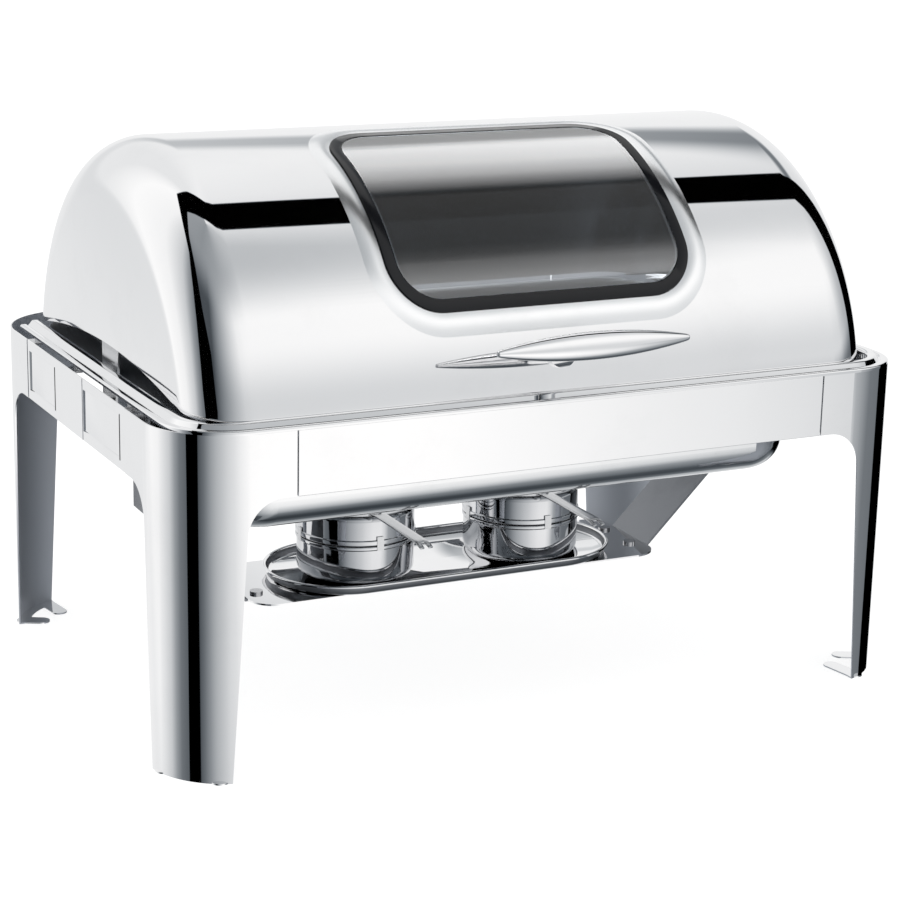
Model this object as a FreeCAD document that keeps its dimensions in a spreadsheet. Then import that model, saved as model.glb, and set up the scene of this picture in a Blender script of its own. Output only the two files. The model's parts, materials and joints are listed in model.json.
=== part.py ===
"""Roll-top chafing dish, full size: a parametric FreeCAD document, in millimetres.

+X is the right-hand side, +Y the back, +Z up. Every sketch is drawn with Y = 0 in the plane of the
lid's pivot axis. Each sub-part is then moved back by origin_shift, which puts the document's origin
under the middle of the whole object, handle included.
"""
import FreeCAD
import Part
import Sketcher
import math
import os

from FreeCAD import Placement, Rotation, Vector

DRIVING = {
    # frame: four legs and four aprons
    "overall_length": 640.0,
    "overall_depth": 455.0,
    "corner_radius": 65.0,
    "apron_top": 264.0,
    "apron_height": 49.0,
    "frame_sheet": 1.2,
    "leg_front_reach": 94.0,
    "leg_side_reach": 103.5,
    "hem_width": 8.0,
    "leg_front_top": 58.0,
    "leg_front_foot": 45.0,
    "leg_side_top": 64.0,
    "leg_side_foot": 54.0,
    "arch_radius": 28.0,
    "foot_strip": 10.0,
    "lobe_width": 14.0,
    "lobe_root": 8.0,
    "side_lobe_reach": 21.0,
    "front_lobe_reach": 36.0,
    "side_lobe_splay": 7.0,
    "front_lobe_splay": 4.0,
    "splice_width": 20.0,
    "splice_margin": 7.0,
    "splice_clearance": 3.0,
    "emboss_depth": 0.6,
    "emboss_border": 7.0,
    "emboss_rounding": 4.0,
    # rim that runs round the front and both sides, open at the back
    "rim_width": 17.0,
    "rim_height": 6.0,
    "rim_crown_rise": 5.1,
    "rim_crown_offset": 2.5,
    "rim_shoulder_rise": 2.2,
    "rim_shoulder_radius": 1.6,
    "rim_lip_radius": 2.2,
    "rim_sheet": 1.0,
    "rim_corner_radius": 52.0,
    "rim_arm_setback": 59.5,
    "rim_setback": 0.2,
    "tab_width": 18.0,
    "tab_depth": 12.0,
    "tab_step": 7.0,
    "tab_reach": 7.0,
    "ledge_drop": 2.0,
    "ledge_lap": 8.0,
    "rail_depth": 34.0,
    "pad_spacing": 390.0,
    "pad_length": 17.0,
    "pad_width": 5.0,
    # bracket on each side apron, for the pivot, the pan and the fuel hanger
    "bracket_sheet": 1.5,
    "bracket_front": 22.0,
    "bracket_back": 28.0,
    "bracket_drop": 6.0,
    "rest_gap": 4.5,
    "rest_width": 12.0,
    # lid, which rolls back about its pivot axis
    "lid_depth_margin": 15.9,
    "lid_length_margin": 27.5,
    "lid_end_radius": 45.0,
    "lid_stand": 3.0,
    "lid_sheet": 1.0,
    "lid_arch_margin": 33.6,
    "lid_arch_rise": 18.0,
    "lid_side_gap": 3.0,
    "arm_sheet": 2.0,
    "arm_radius": 13.0,
    "arm_clearance": 2.3,
    "arm_lap": 32.0,
    "arm_flare": 34.0,
    "pin_radius": 4.0,
    "pin_head_radius": 7.2,
    "nut_radius": 7.6,
    "nut_length": 4.0,
    "pin_clearance": 0.08,
    "face_gap": 0.3,
    # window
    "window_tilt": 55.2,
    "window_half_angle": 27.5,
    "window_length": 260.0,
    "window_corner": 40.0,
    "window_border": 9.0,
    "glass_seat": 4.5,
    "window_surround": 17.0,
    "surround_sheet": 1.5,
    "glass_thickness": 4.0,
    # handle
    "handle_tilt": 17.5,
    "handle_standoff": 54.4,
    "handle_length": 162.0,
    "handle_height": 21.0,
    "handle_thickness": 12.0,
    "handle_tip": 5.0,
    "handle_rounding": 2.2,
    "post_radius": 8.0,
    "post_flange_radius": 12.0,
    "post_flange": 3.0,
    "bolt_head_radius": 5.5,
    "bolt_head_height": 3.5,
    # pans
    "pan_sheet": 1.0,
    "water_gap_length": 5.0,
    "water_gap_width": 8.0,
    "water_depth": 98.0,
    "water_corner": 45.0,
    "water_rounding": 25.0,
    "flange_gap_length": 4.5,
    "flange_gap_width": 7.4,
    "food_length": 504.0,
    "food_width": 300.0,
    "food_depth": 65.0,
    "food_corner": 40.0,
    "food_rounding": 14.0,
    "food_flange_length": 530.0,
    "food_flange_width": 325.0,
    # fuel shelf and its hangers
    "shelf_height": 71.5,
    "shelf_margin": 31.0,
    "shelf_width": 112.0,
    "shelf_corner": 22.0,
    "shelf_sheet": 1.5,
    "strap_sheet": 2.0,
    "strap_width": 60.0,
    "strap_gap": 3.0,
    "strap_slope": 45.0,
    "strap_flange": 24.0,
    "tray_end_margin": 23.8,
    "tray_side_margin": 10.8,
    "tray_depth": 9.0,
    "tray_sheet": 1.2,
    "tray_lip": 4.0,
    # fuel holders
    "fuel_spacing": 156.0,
    "cup_radius": 50.0,
    "cup_rounding": 4.0,
    "cup_height": 36.5,
    "cover_height": 22.0,
    "cover_groove": 1.5,
    "holder_sheet": 1.0,
    "burner_hole": 30.0,
    "damper_overlap": 3.0,
    "damper_sheet": 1.5,
    "damper_pivot": 39.0,
    "lever_reach": 137.0,
    "lever_width": 11.0,
    "clip_width": 6.0,
    "clip_sheet": 1.0,
    "clip_lap": 5.0,
    # rivets
    "rivet_radius": 3.0,
    "rivet_head_radius": 5.4,
    "rivet_head_height": 2.0,
    "bracket_rivet_spread": 15.0,
    "shelf_rivet_spread": 22.0,
}

doc = FreeCAD.newDocument("RollTopChafer")
sheet = doc.addObject("Spreadsheet::Sheet", "Dimensions")
for row, (alias, number) in enumerate(DRIVING.items(), start=1):
    sheet.set(f"A{row}", alias)
    sheet.set(f"B{row}", str(number))
    sheet.setAlias(f"B{row}", alias)
doc.recompute()


class Size:
    """A length or angle: its number, and the spreadsheet formula that gives the same number."""

    def __init__(self, number, formula=None):
        self.number = float(number)
        self.formula = formula or f"{self.number:.6f}"

    def combine(self, sign, other, number):
        return Size(number, f"({self.formula} {sign} {other.formula})")

    def __add__(self, other):
        other = size(other)
        return self.combine("+", other, self.number + other.number)

    def __sub__(self, other):
        other = size(other)
        return self.combine("-", other, self.number - other.number)

    def __mul__(self, other):
        other = size(other)
        return self.combine("*", other, self.number * other.number)

    def __truediv__(self, other):
        other = size(other)
        return self.combine("/", other, self.number / other.number)

    def __radd__(self, other):
        return size(other) + self

    def __rsub__(self, other):
        return size(other) - self

    def __rmul__(self, other):
        return size(other) * self

    def __neg__(self):
        return size(0) - self


def size(value):
    return value if isinstance(value, Size) else Size(value)


def driving(alias):
    return Size(DRIVING[alias], f"Dimensions.{alias}")


def sine(angle):
    return Size(math.sin(math.radians(angle.number)), f"sin({angle.formula})")


def cosine(angle):
    return Size(math.cos(math.radians(angle.number)), f"cos({angle.formula})")


def tangent(angle):
    return Size(math.tan(math.radians(angle.number)), f"tan({angle.formula})")


def bind(item, path, value):
    item.setExpression(path, size(value).formula)


# ---------------------------------------------------------------- sketching

def hold_point(sketch, geometry, point, x, y):
    """Dimension one point of a sketch from the sketch's origin."""
    for kind, value in (("DistanceX", size(x)), ("DistanceY", size(y))):
        index = sketch.addConstraint(Sketcher.Constraint(kind, -1, 1, geometry, point, value.number))
        bind(sketch, f"Constraints[{index}]", value)


def hold_radius(sketch, geometry, radius):
    radius = size(radius)
    index = sketch.addConstraint(Sketcher.Constraint("Radius", geometry, radius.number))
    bind(sketch, f"Constraints[{index}]", radius)


def draw_circle(sketch, x, y, radius):
    centre = Vector(size(x).number, size(y).number, 0)
    circle = sketch.addGeometry(Part.Circle(centre, Vector(0, 0, 1), size(radius).number))
    hold_point(sketch, circle, 3, x, y)
    hold_radius(sketch, circle, radius)


def round_corner(before, corner, after, radius):
    """The arc of this radius that is tangent to both sides of a corner, and where it starts and ends."""
    back = (before - corner).normalize()
    ahead = (after - corner).normalize()
    half = back.getAngle(ahead) / 2
    start = corner + back * (radius / math.tan(half))
    end = corner + ahead * (radius / math.tan(half))
    centre = corner + (back + ahead).normalize() * (radius / math.sin(half))
    middle = centre + (corner - centre).normalize() * radius
    return start, middle, end


def draw_outline(sketch, corners):
    """Closed outline of straight sides. A corner is (x, y), or (x, y, radius) where it is rounded."""
    corners = [tuple(size(value) for value in corner) for corner in corners]
    points = [Vector(corner[0].number, corner[1].number, 0) for corner in corners]
    count = len(points)
    ends = []
    for index, corner in enumerate(corners):
        if len(corner) == 3:
            ends.append(round_corner(points[index - 1], points[index],
                                     points[(index + 1) % count], corner[2].number))
        else:
            ends.append((points[index],) * 3)
    sides = [sketch.addGeometry(Part.LineSegment(ends[index][2], ends[(index + 1) % count][0]))
             for index in range(count)]
    for index, corner in enumerate(corners):
        before, after = sides[index - 1], sides[index]
        if len(corner) == 2:
            sketch.addConstraint(Sketcher.Constraint("Coincident", before, 2, after, 1))
            hold_point(sketch, after, 1, corner[0], corner[1])
            continue
        arc = sketch.addGeometry(Part.Arc(*ends[index]))
        sharp = sketch.addGeometry(Part.Point(points[index]), True)
        hold_point(sketch, sharp, 1, corner[0], corner[1])
        sketch.addConstraint(Sketcher.Constraint("PointOnObject", sharp, 1, before))
        sketch.addConstraint(Sketcher.Constraint("PointOnObject", sharp, 1, after))
        near_start = sketch.getPoint(arc, 1).distanceToPoint(ends[index][0])
        near_end = sketch.getPoint(arc, 2).distanceToPoint(ends[index][0])
        first, last = (1, 2) if near_start < near_end else (2, 1)
        sketch.addConstraint(Sketcher.Constraint("Tangent", before, 2, arc, first))
        sketch.addConstraint(Sketcher.Constraint("Tangent", arc, last, after, 1))
        hold_radius(sketch, arc, corner[2])


def draw_rectangle(sketch, half_x, half_y, radius=None, x=0, y=0):
    rounding = () if radius is None else (radius,)
    draw_outline(sketch, [(x - half_x, y - half_y) + rounding, (x + half_x, y - half_y) + rounding,
                          (x + half_x, y + half_y) + rounding, (x - half_x, y + half_y) + rounding])


def draw_slot(sketch, start, end, radius):
    """Straight slot with full round ends, centred on the two given points."""
    first = Vector(size(start[0]).number, size(start[1]).number, 0)
    last = Vector(size(end[0]).number, size(end[1]).number, 0)
    along = (last - first).normalize()
    across = Vector(-along.y, along.x, 0) * size(radius).number
    reach = along * size(radius).number
    left = sketch.addGeometry(Part.LineSegment(first + across, last + across))
    right = sketch.addGeometry(Part.LineSegment(last - across, first - across))
    far = sketch.addGeometry(Part.Arc(last + across, last + reach, last - across))
    near = sketch.addGeometry(Part.Arc(first - across, first - reach, first + across))
    for arc, centre in ((far, end), (near, start)):
        hold_point(sketch, arc, 3, *centre)
        hold_radius(sketch, arc, radius)
    for arc, before, after in ((far, left, right), (near, right, left)):
        here = sketch.getPoint(before, 2)
        swap = sketch.getPoint(arc, 1).distanceToPoint(here) > sketch.getPoint(arc, 2).distanceToPoint(here)
        first_end, last_end = (2, 1) if swap else (1, 2)
        sketch.addConstraint(Sketcher.Constraint("Tangent", before, 2, arc, first_end))
        sketch.addConstraint(Sketcher.Constraint("Tangent", arc, last_end, after, 1))


def draw_arc_and_chord(sketch, centre_y, radius, chord_y):
    """The part of a circle on the Y axis that lies above a level chord."""
    centre_y, radius, chord_y = size(centre_y), size(radius), size(chord_y)
    rise = chord_y.number - centre_y.number
    half = math.sqrt(radius.number ** 2 - rise ** 2)
    left = Vector(-half, chord_y.number, 0)
    right = Vector(half, chord_y.number, 0)
    top = Vector(0, centre_y.number + radius.number, 0)
    arc = sketch.addGeometry(Part.Arc(right, top, left))
    chord = sketch.addGeometry(Part.LineSegment(left, right))
    sketch.addConstraint(Sketcher.Constraint("Coincident", arc, 2, chord, 1))
    sketch.addConstraint(Sketcher.Constraint("Coincident", arc, 1, chord, 2))
    sketch.addConstraint(Sketcher.Constraint("Horizontal", chord))
    hold_point(sketch, arc, 3, 0, centre_y)
    hold_radius(sketch, arc, radius)
    index = sketch.addConstraint(Sketcher.Constraint("DistanceY", -1, 1, chord, 1, chord_y.number))
    bind(sketch, f"Constraints[{index}]", chord_y)


# ---------------------------------------------------------------- bodies and features

TOP = "XY_Plane"     # sketch x, y = X, Y; normal +Z
FRONT = "XZ_Plane"   # sketch x, y = X, Z; normal -Y
SIDE = "YZ_Plane"    # sketch x, y = Y, Z; normal +X

handed_in = []


def keep(item, label):
    """Name an object and list it as a sub-part to be written out."""
    item.Label = label
    handed_in.append(item)
    return item


def new_body(label, x=0, kept=True):
    body = doc.addObject("PartDesign::Body", label)
    bind(body, "Placement.Base.x", x)
    bind(body, "Placement.Base.y", origin_shift)
    if kept:
        keep(body, label)
    return body


def new_sketch(body, plane, lift=0):
    """Sketch on one of the body's own origin planes, lifted along that plane's normal."""
    sketch = body.newObject("Sketcher::SketchObject", f"{body.Name}_sketch")
    origin_planes = body.Origin.OriginFeatures
    sketch.AttachmentSupport = [(next(item for item in origin_planes if item.Role == plane), "")]
    sketch.MapMode = "FlatFace"
    bind(sketch, "AttachmentOffset.Base.z", lift)
    return sketch


def radial_sketch(body, tilt, distance=0):
    """Sketch square to a line that leaves the pivot axis towards the front, tilted up by tilt.

    Its x is the object's X, its y runs up the lid, and its normal points away from the axis.
    """
    sketch = body.newObject("Sketcher::SketchObject", f"{body.Name}_radial_sketch")
    origin_planes = body.Origin.OriginFeatures
    sketch.AttachmentSupport = [(next(item for item in origin_planes if item.Role == FRONT), "")]
    sketch.MapMode = "FlatFace"
    distance = size(distance)
    # the offset is in the front plane's own axes: x = X, y = Z, z = towards the front
    bind(sketch, "AttachmentOffset.Base.y", pivot_height + distance * sine(tilt))
    bind(sketch, "AttachmentOffset.Base.z", distance * cosine(tilt))
    sketch.AttachmentOffset = Placement(sketch.AttachmentOffset.Base, Rotation(Vector(1, 0, 0), -tilt.number))
    bind(sketch, "AttachmentOffset.Rotation.Angle", tilt)
    bind(sketch, "AttachmentOffset.Rotation.Axis.x", -1)
    return sketch


def volume_of(body):
    doc.recompute()
    return body.Shape.Volume if not body.Shape.isNull() else 0.0


def add_feature(body, kind, sketch, length=None, symmetric=False, reverse=False, adds=True):
    """Pad or pocket a sketch, and check that the feature really added or cut material."""
    before = volume_of(body)
    feature = body.newObject(f"PartDesign::{kind}", f"{body.Name}_{kind}")
    feature.Profile = sketch
    feature.Reversed = reverse
    if length is None:
        feature.Type = "ThroughAll"
    else:
        bind(feature, "Length", length)
    if symmetric:
        feature.SideType = "Symmetric"
    after = volume_of(body)
    if (after > before) != adds:
        raise RuntimeError(f"{feature.Name} went the wrong way: {before:.1f} to {after:.1f}")
    return feature


def pad(body, sketch, length, **options):
    return add_feature(body, "Pad", sketch, length, **options)


def pocket(body, sketch, length=None, **options):
    return add_feature(body, "Pocket", sketch, length, adds=False, **options)


def revolve(body, sketch, axis, angle=360, symmetric=False):
    feature = body.newObject("PartDesign::Revolution", f"{body.Name}_Revolution")
    feature.Profile = sketch
    feature.ReferenceAxis = (sketch, [axis])
    bind(feature, "Angle", angle)
    feature.Midplane = symmetric
    doc.recompute()
    return feature


def dress(body, kind, names, value, base=None):
    """Fillet or Thickness on named edges or faces of the body's last feature."""
    doc.recompute()
    base = base or body.Tip
    feature = body.newObject(f"PartDesign::{kind}", f"{body.Name}_{kind}")
    feature.Base = (base, names)
    bind(feature, "Radius" if kind == "Fillet" else "Value", value)
    body.Tip = feature
    doc.recompute()
    return feature


def edges_where(body, test):
    doc.recompute()
    return [f"Edge{number}" for number, edge in enumerate(body.Shape.Edges, start=1) if test(edge)]


def faces_where(body, test):
    doc.recompute()
    return [f"Face{number}" for number, face in enumerate(body.Shape.Faces, start=1) if test(face)]


def is_level(edge, height):
    box = edge.BoundBox
    return abs(box.ZMin - height) < 1e-4 and abs(box.ZMax - height) < 1e-4


def faces_along(face, direction):
    return isinstance(face.Surface, Part.Plane) and face.normalAt(0, 0).getAngle(direction) < 1e-4


def mirror(source, label, across_length=False, across_depth=False):
    """Mirrored copy of a sub-part, across the middle of the length, the depth, or both."""
    item = source
    for wanted, normal in ((across_length, Vector(1, 0, 0)), (across_depth, Vector(0, 1, 0))):
        if wanted:
            item = mirrored(item, normal)
    return keep(item, label)


def mirrored(source, normal=Vector(1, 0, 0)):
    copy = doc.addObject("Part::Mirroring", f"{source.Name}_mirrored")
    copy.Source = source
    copy.Normal = normal
    bind(copy, "Base.y", origin_shift)
    return copy


def group(label, items):
    """One sub-part made of identical separate pieces."""
    compound = doc.addObject("Part::Compound", label)
    compound.Links = items
    return keep(compound, label)


# ---------------------------------------------------------------- shared places

half_length = driving("overall_length") / 2
half_depth = driving("overall_depth") / 2
apron_top = driving("apron_top")
apron_bottom = apron_top - driving("apron_height")
frame_sheet = driving("frame_sheet")
ledge_top = apron_top - driving("ledge_drop")
front_seam = half_length - driving("leg_front_reach")
side_seam = half_depth - driving("leg_side_reach")
inner_face = half_length - frame_sheet
hem_top = apron_bottom + frame_sheet
web_top = hem_top + driving("bracket_sheet")
pivot_height = web_top + driving("arm_clearance") + driving("arm_radius")
lid_radius = half_depth - driving("lid_depth_margin")
lid_half = half_length - driving("lid_length_margin")
lid_base = apron_top + driving("lid_stand")
lid_inside = lid_half - driving("lid_sheet")
water_half_length = driving("food_length") / 2 + driving("water_gap_length")
water_half_width = driving("food_width") / 2 + driving("water_gap_width")
flange_half_length = lid_inside - driving("flange_gap_length")
flange_half_width = lid_radius - driving("flange_gap_width")

handle_tilt = driving("handle_tilt")
handle_radius = lid_radius + driving("handle_standoff")
handle_front = (handle_radius + driving("handle_thickness") / 2
                - driving("handle_rounding")) * cosine(handle_tilt) \
    + (driving("handle_height") / 2 - driving("handle_rounding")) * sine(handle_tilt) \
    + driving("handle_rounding")
origin_shift = (handle_front - half_depth) / 2


# ---------------------------------------------------------------- frame

def frame_ring(body):
    """The frame's wall as a closed ring, with a strip turned in along its bottom edge."""
    corner = driving("corner_radius")
    sketch = new_sketch(body, TOP)
    draw_rectangle(sketch, half_length, half_depth, corner)
    pad(body, sketch, apron_top)
    for lift, inset in ((0, driving("foot_strip")), (frame_sheet, frame_sheet)):
        sketch = new_sketch(body, TOP, lift)
        draw_rectangle(sketch, half_length - inset, half_depth - inset, corner - inset)
        pocket(body, sketch, apron_top, reverse=True)


def leg_outline(edge_foot, edge_top, seam, beyond):
    """What is cut away beside a leg, seen square on: the open bay, its arch, and past the seam."""
    below = -frame_sheet
    above = apron_top + frame_sheet
    return [(edge_foot, below), (edge_top, apron_bottom, driving("arch_radius")), (seam, apron_bottom),
            (seam, above), (beyond, above), (beyond, below)]


def make_leg():
    """Front left corner: one sheet bent round the corner, tapering down to a turned-in foot."""
    body = new_body("leg_front_left")
    frame_ring(body)
    sketch = new_sketch(body, FRONT)
    draw_outline(sketch, leg_outline(driving("leg_front_foot") - half_length,
                                     driving("leg_front_top") - half_length,
                                     -front_seam, half_length * 2))
    pocket(body, sketch, symmetric=True)
    sketch = new_sketch(body, SIDE)
    draw_outline(sketch, leg_outline(driving("leg_side_foot") - half_depth,
                                     driving("leg_side_top") - half_depth,
                                     -side_seam, half_depth * 2))
    pocket(body, sketch, symmetric=True)
    lobe = driving("lobe_width") / 2
    root = driving("lobe_root")
    side_end = driving("leg_side_foot") - lobe
    front_end = driving("leg_front_foot") - lobe
    side_lobe = ((root, side_end), (driving("side_lobe_reach"), side_end + driving("side_lobe_splay")))
    front_lobe = ((front_end, root + frame_sheet * 2),
                  (front_end + driving("front_lobe_splay"), driving("front_lobe_reach")))
    for start, end in (side_lobe, front_lobe):
        sketch = new_sketch(body, TOP)
        draw_slot(sketch, (start[0] - half_length, start[1] - half_depth),
                  (end[0] - half_length, end[1] - half_depth), lobe)
        pad(body, sketch, frame_sheet)
    mirror(body, "leg_front_right", across_length=True)
    mirror(body, "leg_rear_left", across_depth=True)
    mirror(body, "leg_rear_right", across_length=True, across_depth=True)


def hemmed_section(outer):
    """Section of an apron whose face is at -outer: an upright sheet with a hem turned in below."""
    inner = frame_sheet - outer
    hem = driving("hem_width") - outer
    return [(-outer, apron_bottom), (hem, apron_bottom), (hem, hem_top), (inner, hem_top),
            (inner, apron_top), (-outer, apron_top)]


def make_aprons():
    body = new_body("apron_front")
    sketch = new_sketch(body, SIDE)
    draw_outline(sketch, hemmed_section(half_depth))
    pad(body, sketch, front_seam * 2, symmetric=True)
    mirror(body, "apron_rear", across_depth=True)

    body = new_body("apron_left")
    sketch = new_sketch(body, FRONT)
    draw_outline(sketch, hemmed_section(half_length))
    pad(body, sketch, side_seam * 2, symmetric=True)
    border = driving("emboss_border")
    panels = ((border - side_seam, -driving("bracket_front")),
              (driving("bracket_back") + driving("tab_width"), side_seam - border))
    sketch = new_sketch(body, SIDE, -half_length)
    for near, far in panels:
        draw_rectangle(sketch, (far - near) / 2, driving("apron_height") / 2 - border,
                       driving("emboss_rounding"), x=(near + far) / 2, y=(apron_top + apron_bottom) / 2)
    pocket(body, sketch, driving("emboss_depth"), reverse=True)
    mirror(body, "apron_right", across_length=True)


def make_splices():
    """Plates welded behind the eight seams between legs and aprons."""
    half_width = driving("splice_width") / 2
    low = web_top
    high = apron_top - driving("splice_margin")
    pieces = []
    for plane, place, seam in ((FRONT, half_depth - frame_sheet * 2, front_seam),
                               (SIDE, frame_sheet - half_length, side_seam)):
        for side in (-1, 1):
            body = new_body("splice", kept=False)
            sketch = new_sketch(body, plane, place)
            draw_rectangle(sketch, half_width, (high - low) / 2, x=seam * side, y=(high + low) / 2)
            pad(body, sketch, frame_sheet)
            pieces += [body, mirrored(body, Vector(0, 1, 0) if plane == FRONT else Vector(1, 0, 0))]
    group("seam_splices", pieces)


def make_rim():
    """Rolled channel round the front and sides. The cut ends of its arms show at the back."""
    width, height, wall = driving("rim_width"), driving("rim_height"), driving("rim_sheet")
    inner_side = lid_half + driving("lid_side_gap")
    side = inner_side + width / 2
    front = half_depth - driving("rim_setback") - width / 2
    turn = driving("rim_corner_radius") - width / 2
    reach = half_depth - driving("rim_arm_setback")
    body = new_body("rim_trim")
    path = new_sketch(body, TOP, apron_top)
    points = [Vector(-side.number, reach.number, 0), Vector(-side.number, -front.number, 0),
              Vector(side.number, -front.number, 0), Vector(side.number, reach.number, 0)]
    bends = [round_corner(points[0], points[1], points[2], turn.number),
             round_corner(points[1], points[2], points[3], turn.number)]
    runs = [(points[0], bends[0][0]), (bends[0][2], bends[1][0]), (bends[1][2], points[3])]
    lines = [path.addGeometry(Part.LineSegment(*run)) for run in runs]
    arcs = [path.addGeometry(Part.Arc(*bend)) for bend in bends]
    for index, arc in enumerate(arcs):
        start_first = path.getPoint(arc, 1).distanceToPoint(bends[index][0]) < 1e-3
        first, last = (1, 2) if start_first else (2, 1)
        path.addConstraint(Sketcher.Constraint("Tangent", lines[index], 2, arc, first))
        path.addConstraint(Sketcher.Constraint("Tangent", arc, last, lines[index + 1], 1))
        hold_radius(path, arc, turn)
    path.addConstraint(Sketcher.Constraint("Vertical", lines[0]))
    path.addConstraint(Sketcher.Constraint("Horizontal", lines[1]))
    path.addConstraint(Sketcher.Constraint("Vertical", lines[2]))
    hold_point(path, lines[0], 1, -side, reach)
    hold_point(path, lines[2], 2, side, reach)
    index = path.addConstraint(Sketcher.Constraint("DistanceY", -1, 1, lines[1], 1, -front.number))
    bind(path, f"Constraints[{index}]", -front)

    section = new_sketch(body, FRONT, -reach)
    outer, inner = -side - width / 2, -side + width / 2
    shoulder = apron_top + driving("rim_shoulder_rise")
    crown = apron_top + driving("rim_crown_rise")
    crown_place = -side - driving("rim_crown_offset")
    lip = driving("rim_lip_radius")
    top = apron_top + height
    draw_outline(section, [
        (outer, apron_top), (outer, shoulder, driving("rim_shoulder_radius")),
        (crown_place, crown, width / 2), (inner, top, lip), (inner, apron_top),
        (inner - wall, apron_top), (inner - wall, top - wall, lip - wall),
        (crown_place, crown - wall, width / 2 - wall),
        (outer + wall, shoulder - wall / 2, driving("rim_shoulder_radius") - wall),
        (outer + wall, apron_top)])
    pipe = body.newObject("PartDesign::AdditivePipe", "rim_pipe")
    pipe.Profile = section
    pipe.Spine = (path, [f"Edge{number}" for number in range(1, 6)])
    doc.recompute()


def make_front_rail():
    """Angle behind the front apron: its ledge carries the rim and the water pan's front edge."""
    back = half_depth - frame_sheet
    thick = driving("bracket_sheet")
    body = new_body("front_rail")
    sketch = new_sketch(body, SIDE)
    ledge = driving("ledge_lap") - flange_half_width
    bottom = ledge_top - driving("rail_depth")
    draw_outline(sketch, [(-back, ledge_top), (ledge, ledge_top), (ledge, ledge_top - thick),
                          (thick - back, ledge_top - thick), (thick - back, bottom), (-back, bottom)])
    pad(body, sketch, front_seam * 2 - driving("splice_width") - driving("splice_clearance") * 2,
        symmetric=True)


def make_rim_tabs():
    """Stepped tabs from the side aprons in under the rim's arms."""
    thick = driving("bracket_sheet")
    under = lid_half + driving("lid_side_gap") + driving("rim_width") / 2
    inner = driving("tab_reach") - under
    step = apron_top - driving("tab_step")
    root = -inner_face
    width = driving("tab_width")
    past_splice = driving("splice_width") / 2 + driving("splice_clearance")
    places = (past_splice - side_seam, driving("bracket_back") + thick, side_seam + past_splice)
    pieces = []
    for place in places:
        body = new_body("rim_tab", kept=False)
        sketch = new_sketch(body, FRONT, -place)
        draw_outline(sketch, [
            (root, step - driving("tab_depth")), (root, step), (-under, step), (-under, apron_top),
            (inner, apron_top), (inner, apron_top - thick), (thick - under, apron_top - thick),
            (thick - under, step - thick), (root + thick, step - thick),
            (root + thick, step - driving("tab_depth"))])
        pad(body, sketch, width, reverse=True)
        pieces += [body, mirrored(body)]
    group("rim_tabs", pieces)


def make_rest_pads():
    """Two silicone pads on the ledge that the closed lid stands on."""
    pieces = []
    for side in (-1, 1):
        body = new_body("rest_pad", x=driving("pad_spacing") / 2 * side, kept=False)
        rim_inner = driving("rim_width") + driving("rim_setback") - half_depth
        half_width = driving("pad_width") / 2
        sketch = new_sketch(body, TOP, ledge_top)
        draw_rectangle(sketch, driving("pad_length") / 2, half_width, driving("rim_sheet"),
                       y=rim_inner + driving("face_gap") + half_width)
        pad(body, sketch, lid_base - driving("face_gap") - ledge_top)
        pieces.append(body)
    group("lid_rest_pads", pieces)


# ---------------------------------------------------------------- pivots

upright_out = lid_half + driving("lid_side_gap") + driving("bracket_sheet") * 2
upright_in = upright_out - driving("bracket_sheet")
arm_out = lid_inside
arm_in = lid_inside - driving("arm_sheet")
strap_in = water_half_length + driving("strap_gap")
strap_out = strap_in + driving("strap_sheet")
bracket_rivet_place = strap_out + driving("strap_flange") / 2
tray_rim = driving("tray_sheet") + driving("tray_lip")
tray_half_width = driving("cup_radius") + driving("tray_side_margin") + tray_rim
tray_half_length = driving("fuel_spacing") / 2 + driving("cup_radius") + driving("tray_end_margin") + tray_rim
shelf_half = tray_half_length + driving("shelf_margin")
shelf_rivet_place = shelf_half - driving("strap_flange") / 2


def drill(body, top, depth, place, spread):
    """Two rivet holes down through a sheet, at equal distances in front of and behind the middle."""
    sketch = new_sketch(body, TOP, top)
    for side in (-1, 1):
        draw_circle(sketch, place, spread * side, driving("rivet_radius"))
    pocket(body, sketch, depth)


def make_pivot_brackets():
    """Pressed bracket on each side apron: carries the lid's pin, the pan's rest and the fuel hanger."""
    thick = driving("bracket_sheet")
    rest_out = strap_out + driving("rest_gap")
    rest_edge = rest_out + driving("rest_width")
    bracket_top = ledge_top - driving("bracket_drop")
    body = new_body("pivot_bracket_left")
    sketch = new_sketch(body, FRONT, -driving("bracket_back"))
    pivot_top = pivot_height + driving("arm_radius")
    draw_outline(sketch, [
        (-inner_face, hem_top), (-inner_face, bracket_top), (thick - inner_face, bracket_top),
        (thick - inner_face, web_top), (-upright_out, web_top), (-upright_out, pivot_top),
        (-upright_in, pivot_top), (-upright_in, web_top), (-rest_out, web_top),
        (-rest_out, ledge_top - thick), (-rest_edge, ledge_top - thick), (-rest_edge, ledge_top),
        (thick - rest_out, ledge_top), (thick - rest_out, web_top), (-strap_in, web_top),
        (-strap_in, hem_top)])
    pad(body, sketch, driving("bracket_back") + driving("bracket_front"))
    sketch = new_sketch(body, SIDE, -upright_out)
    draw_circle(sketch, 0, pivot_height, driving("pin_radius"))
    pocket(body, sketch, thick, reverse=True)
    drill(body, web_top, thick, -bracket_rivet_place, driving("bracket_rivet_spread"))
    mirror(body, "pivot_bracket_right", across_length=True)


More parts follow.
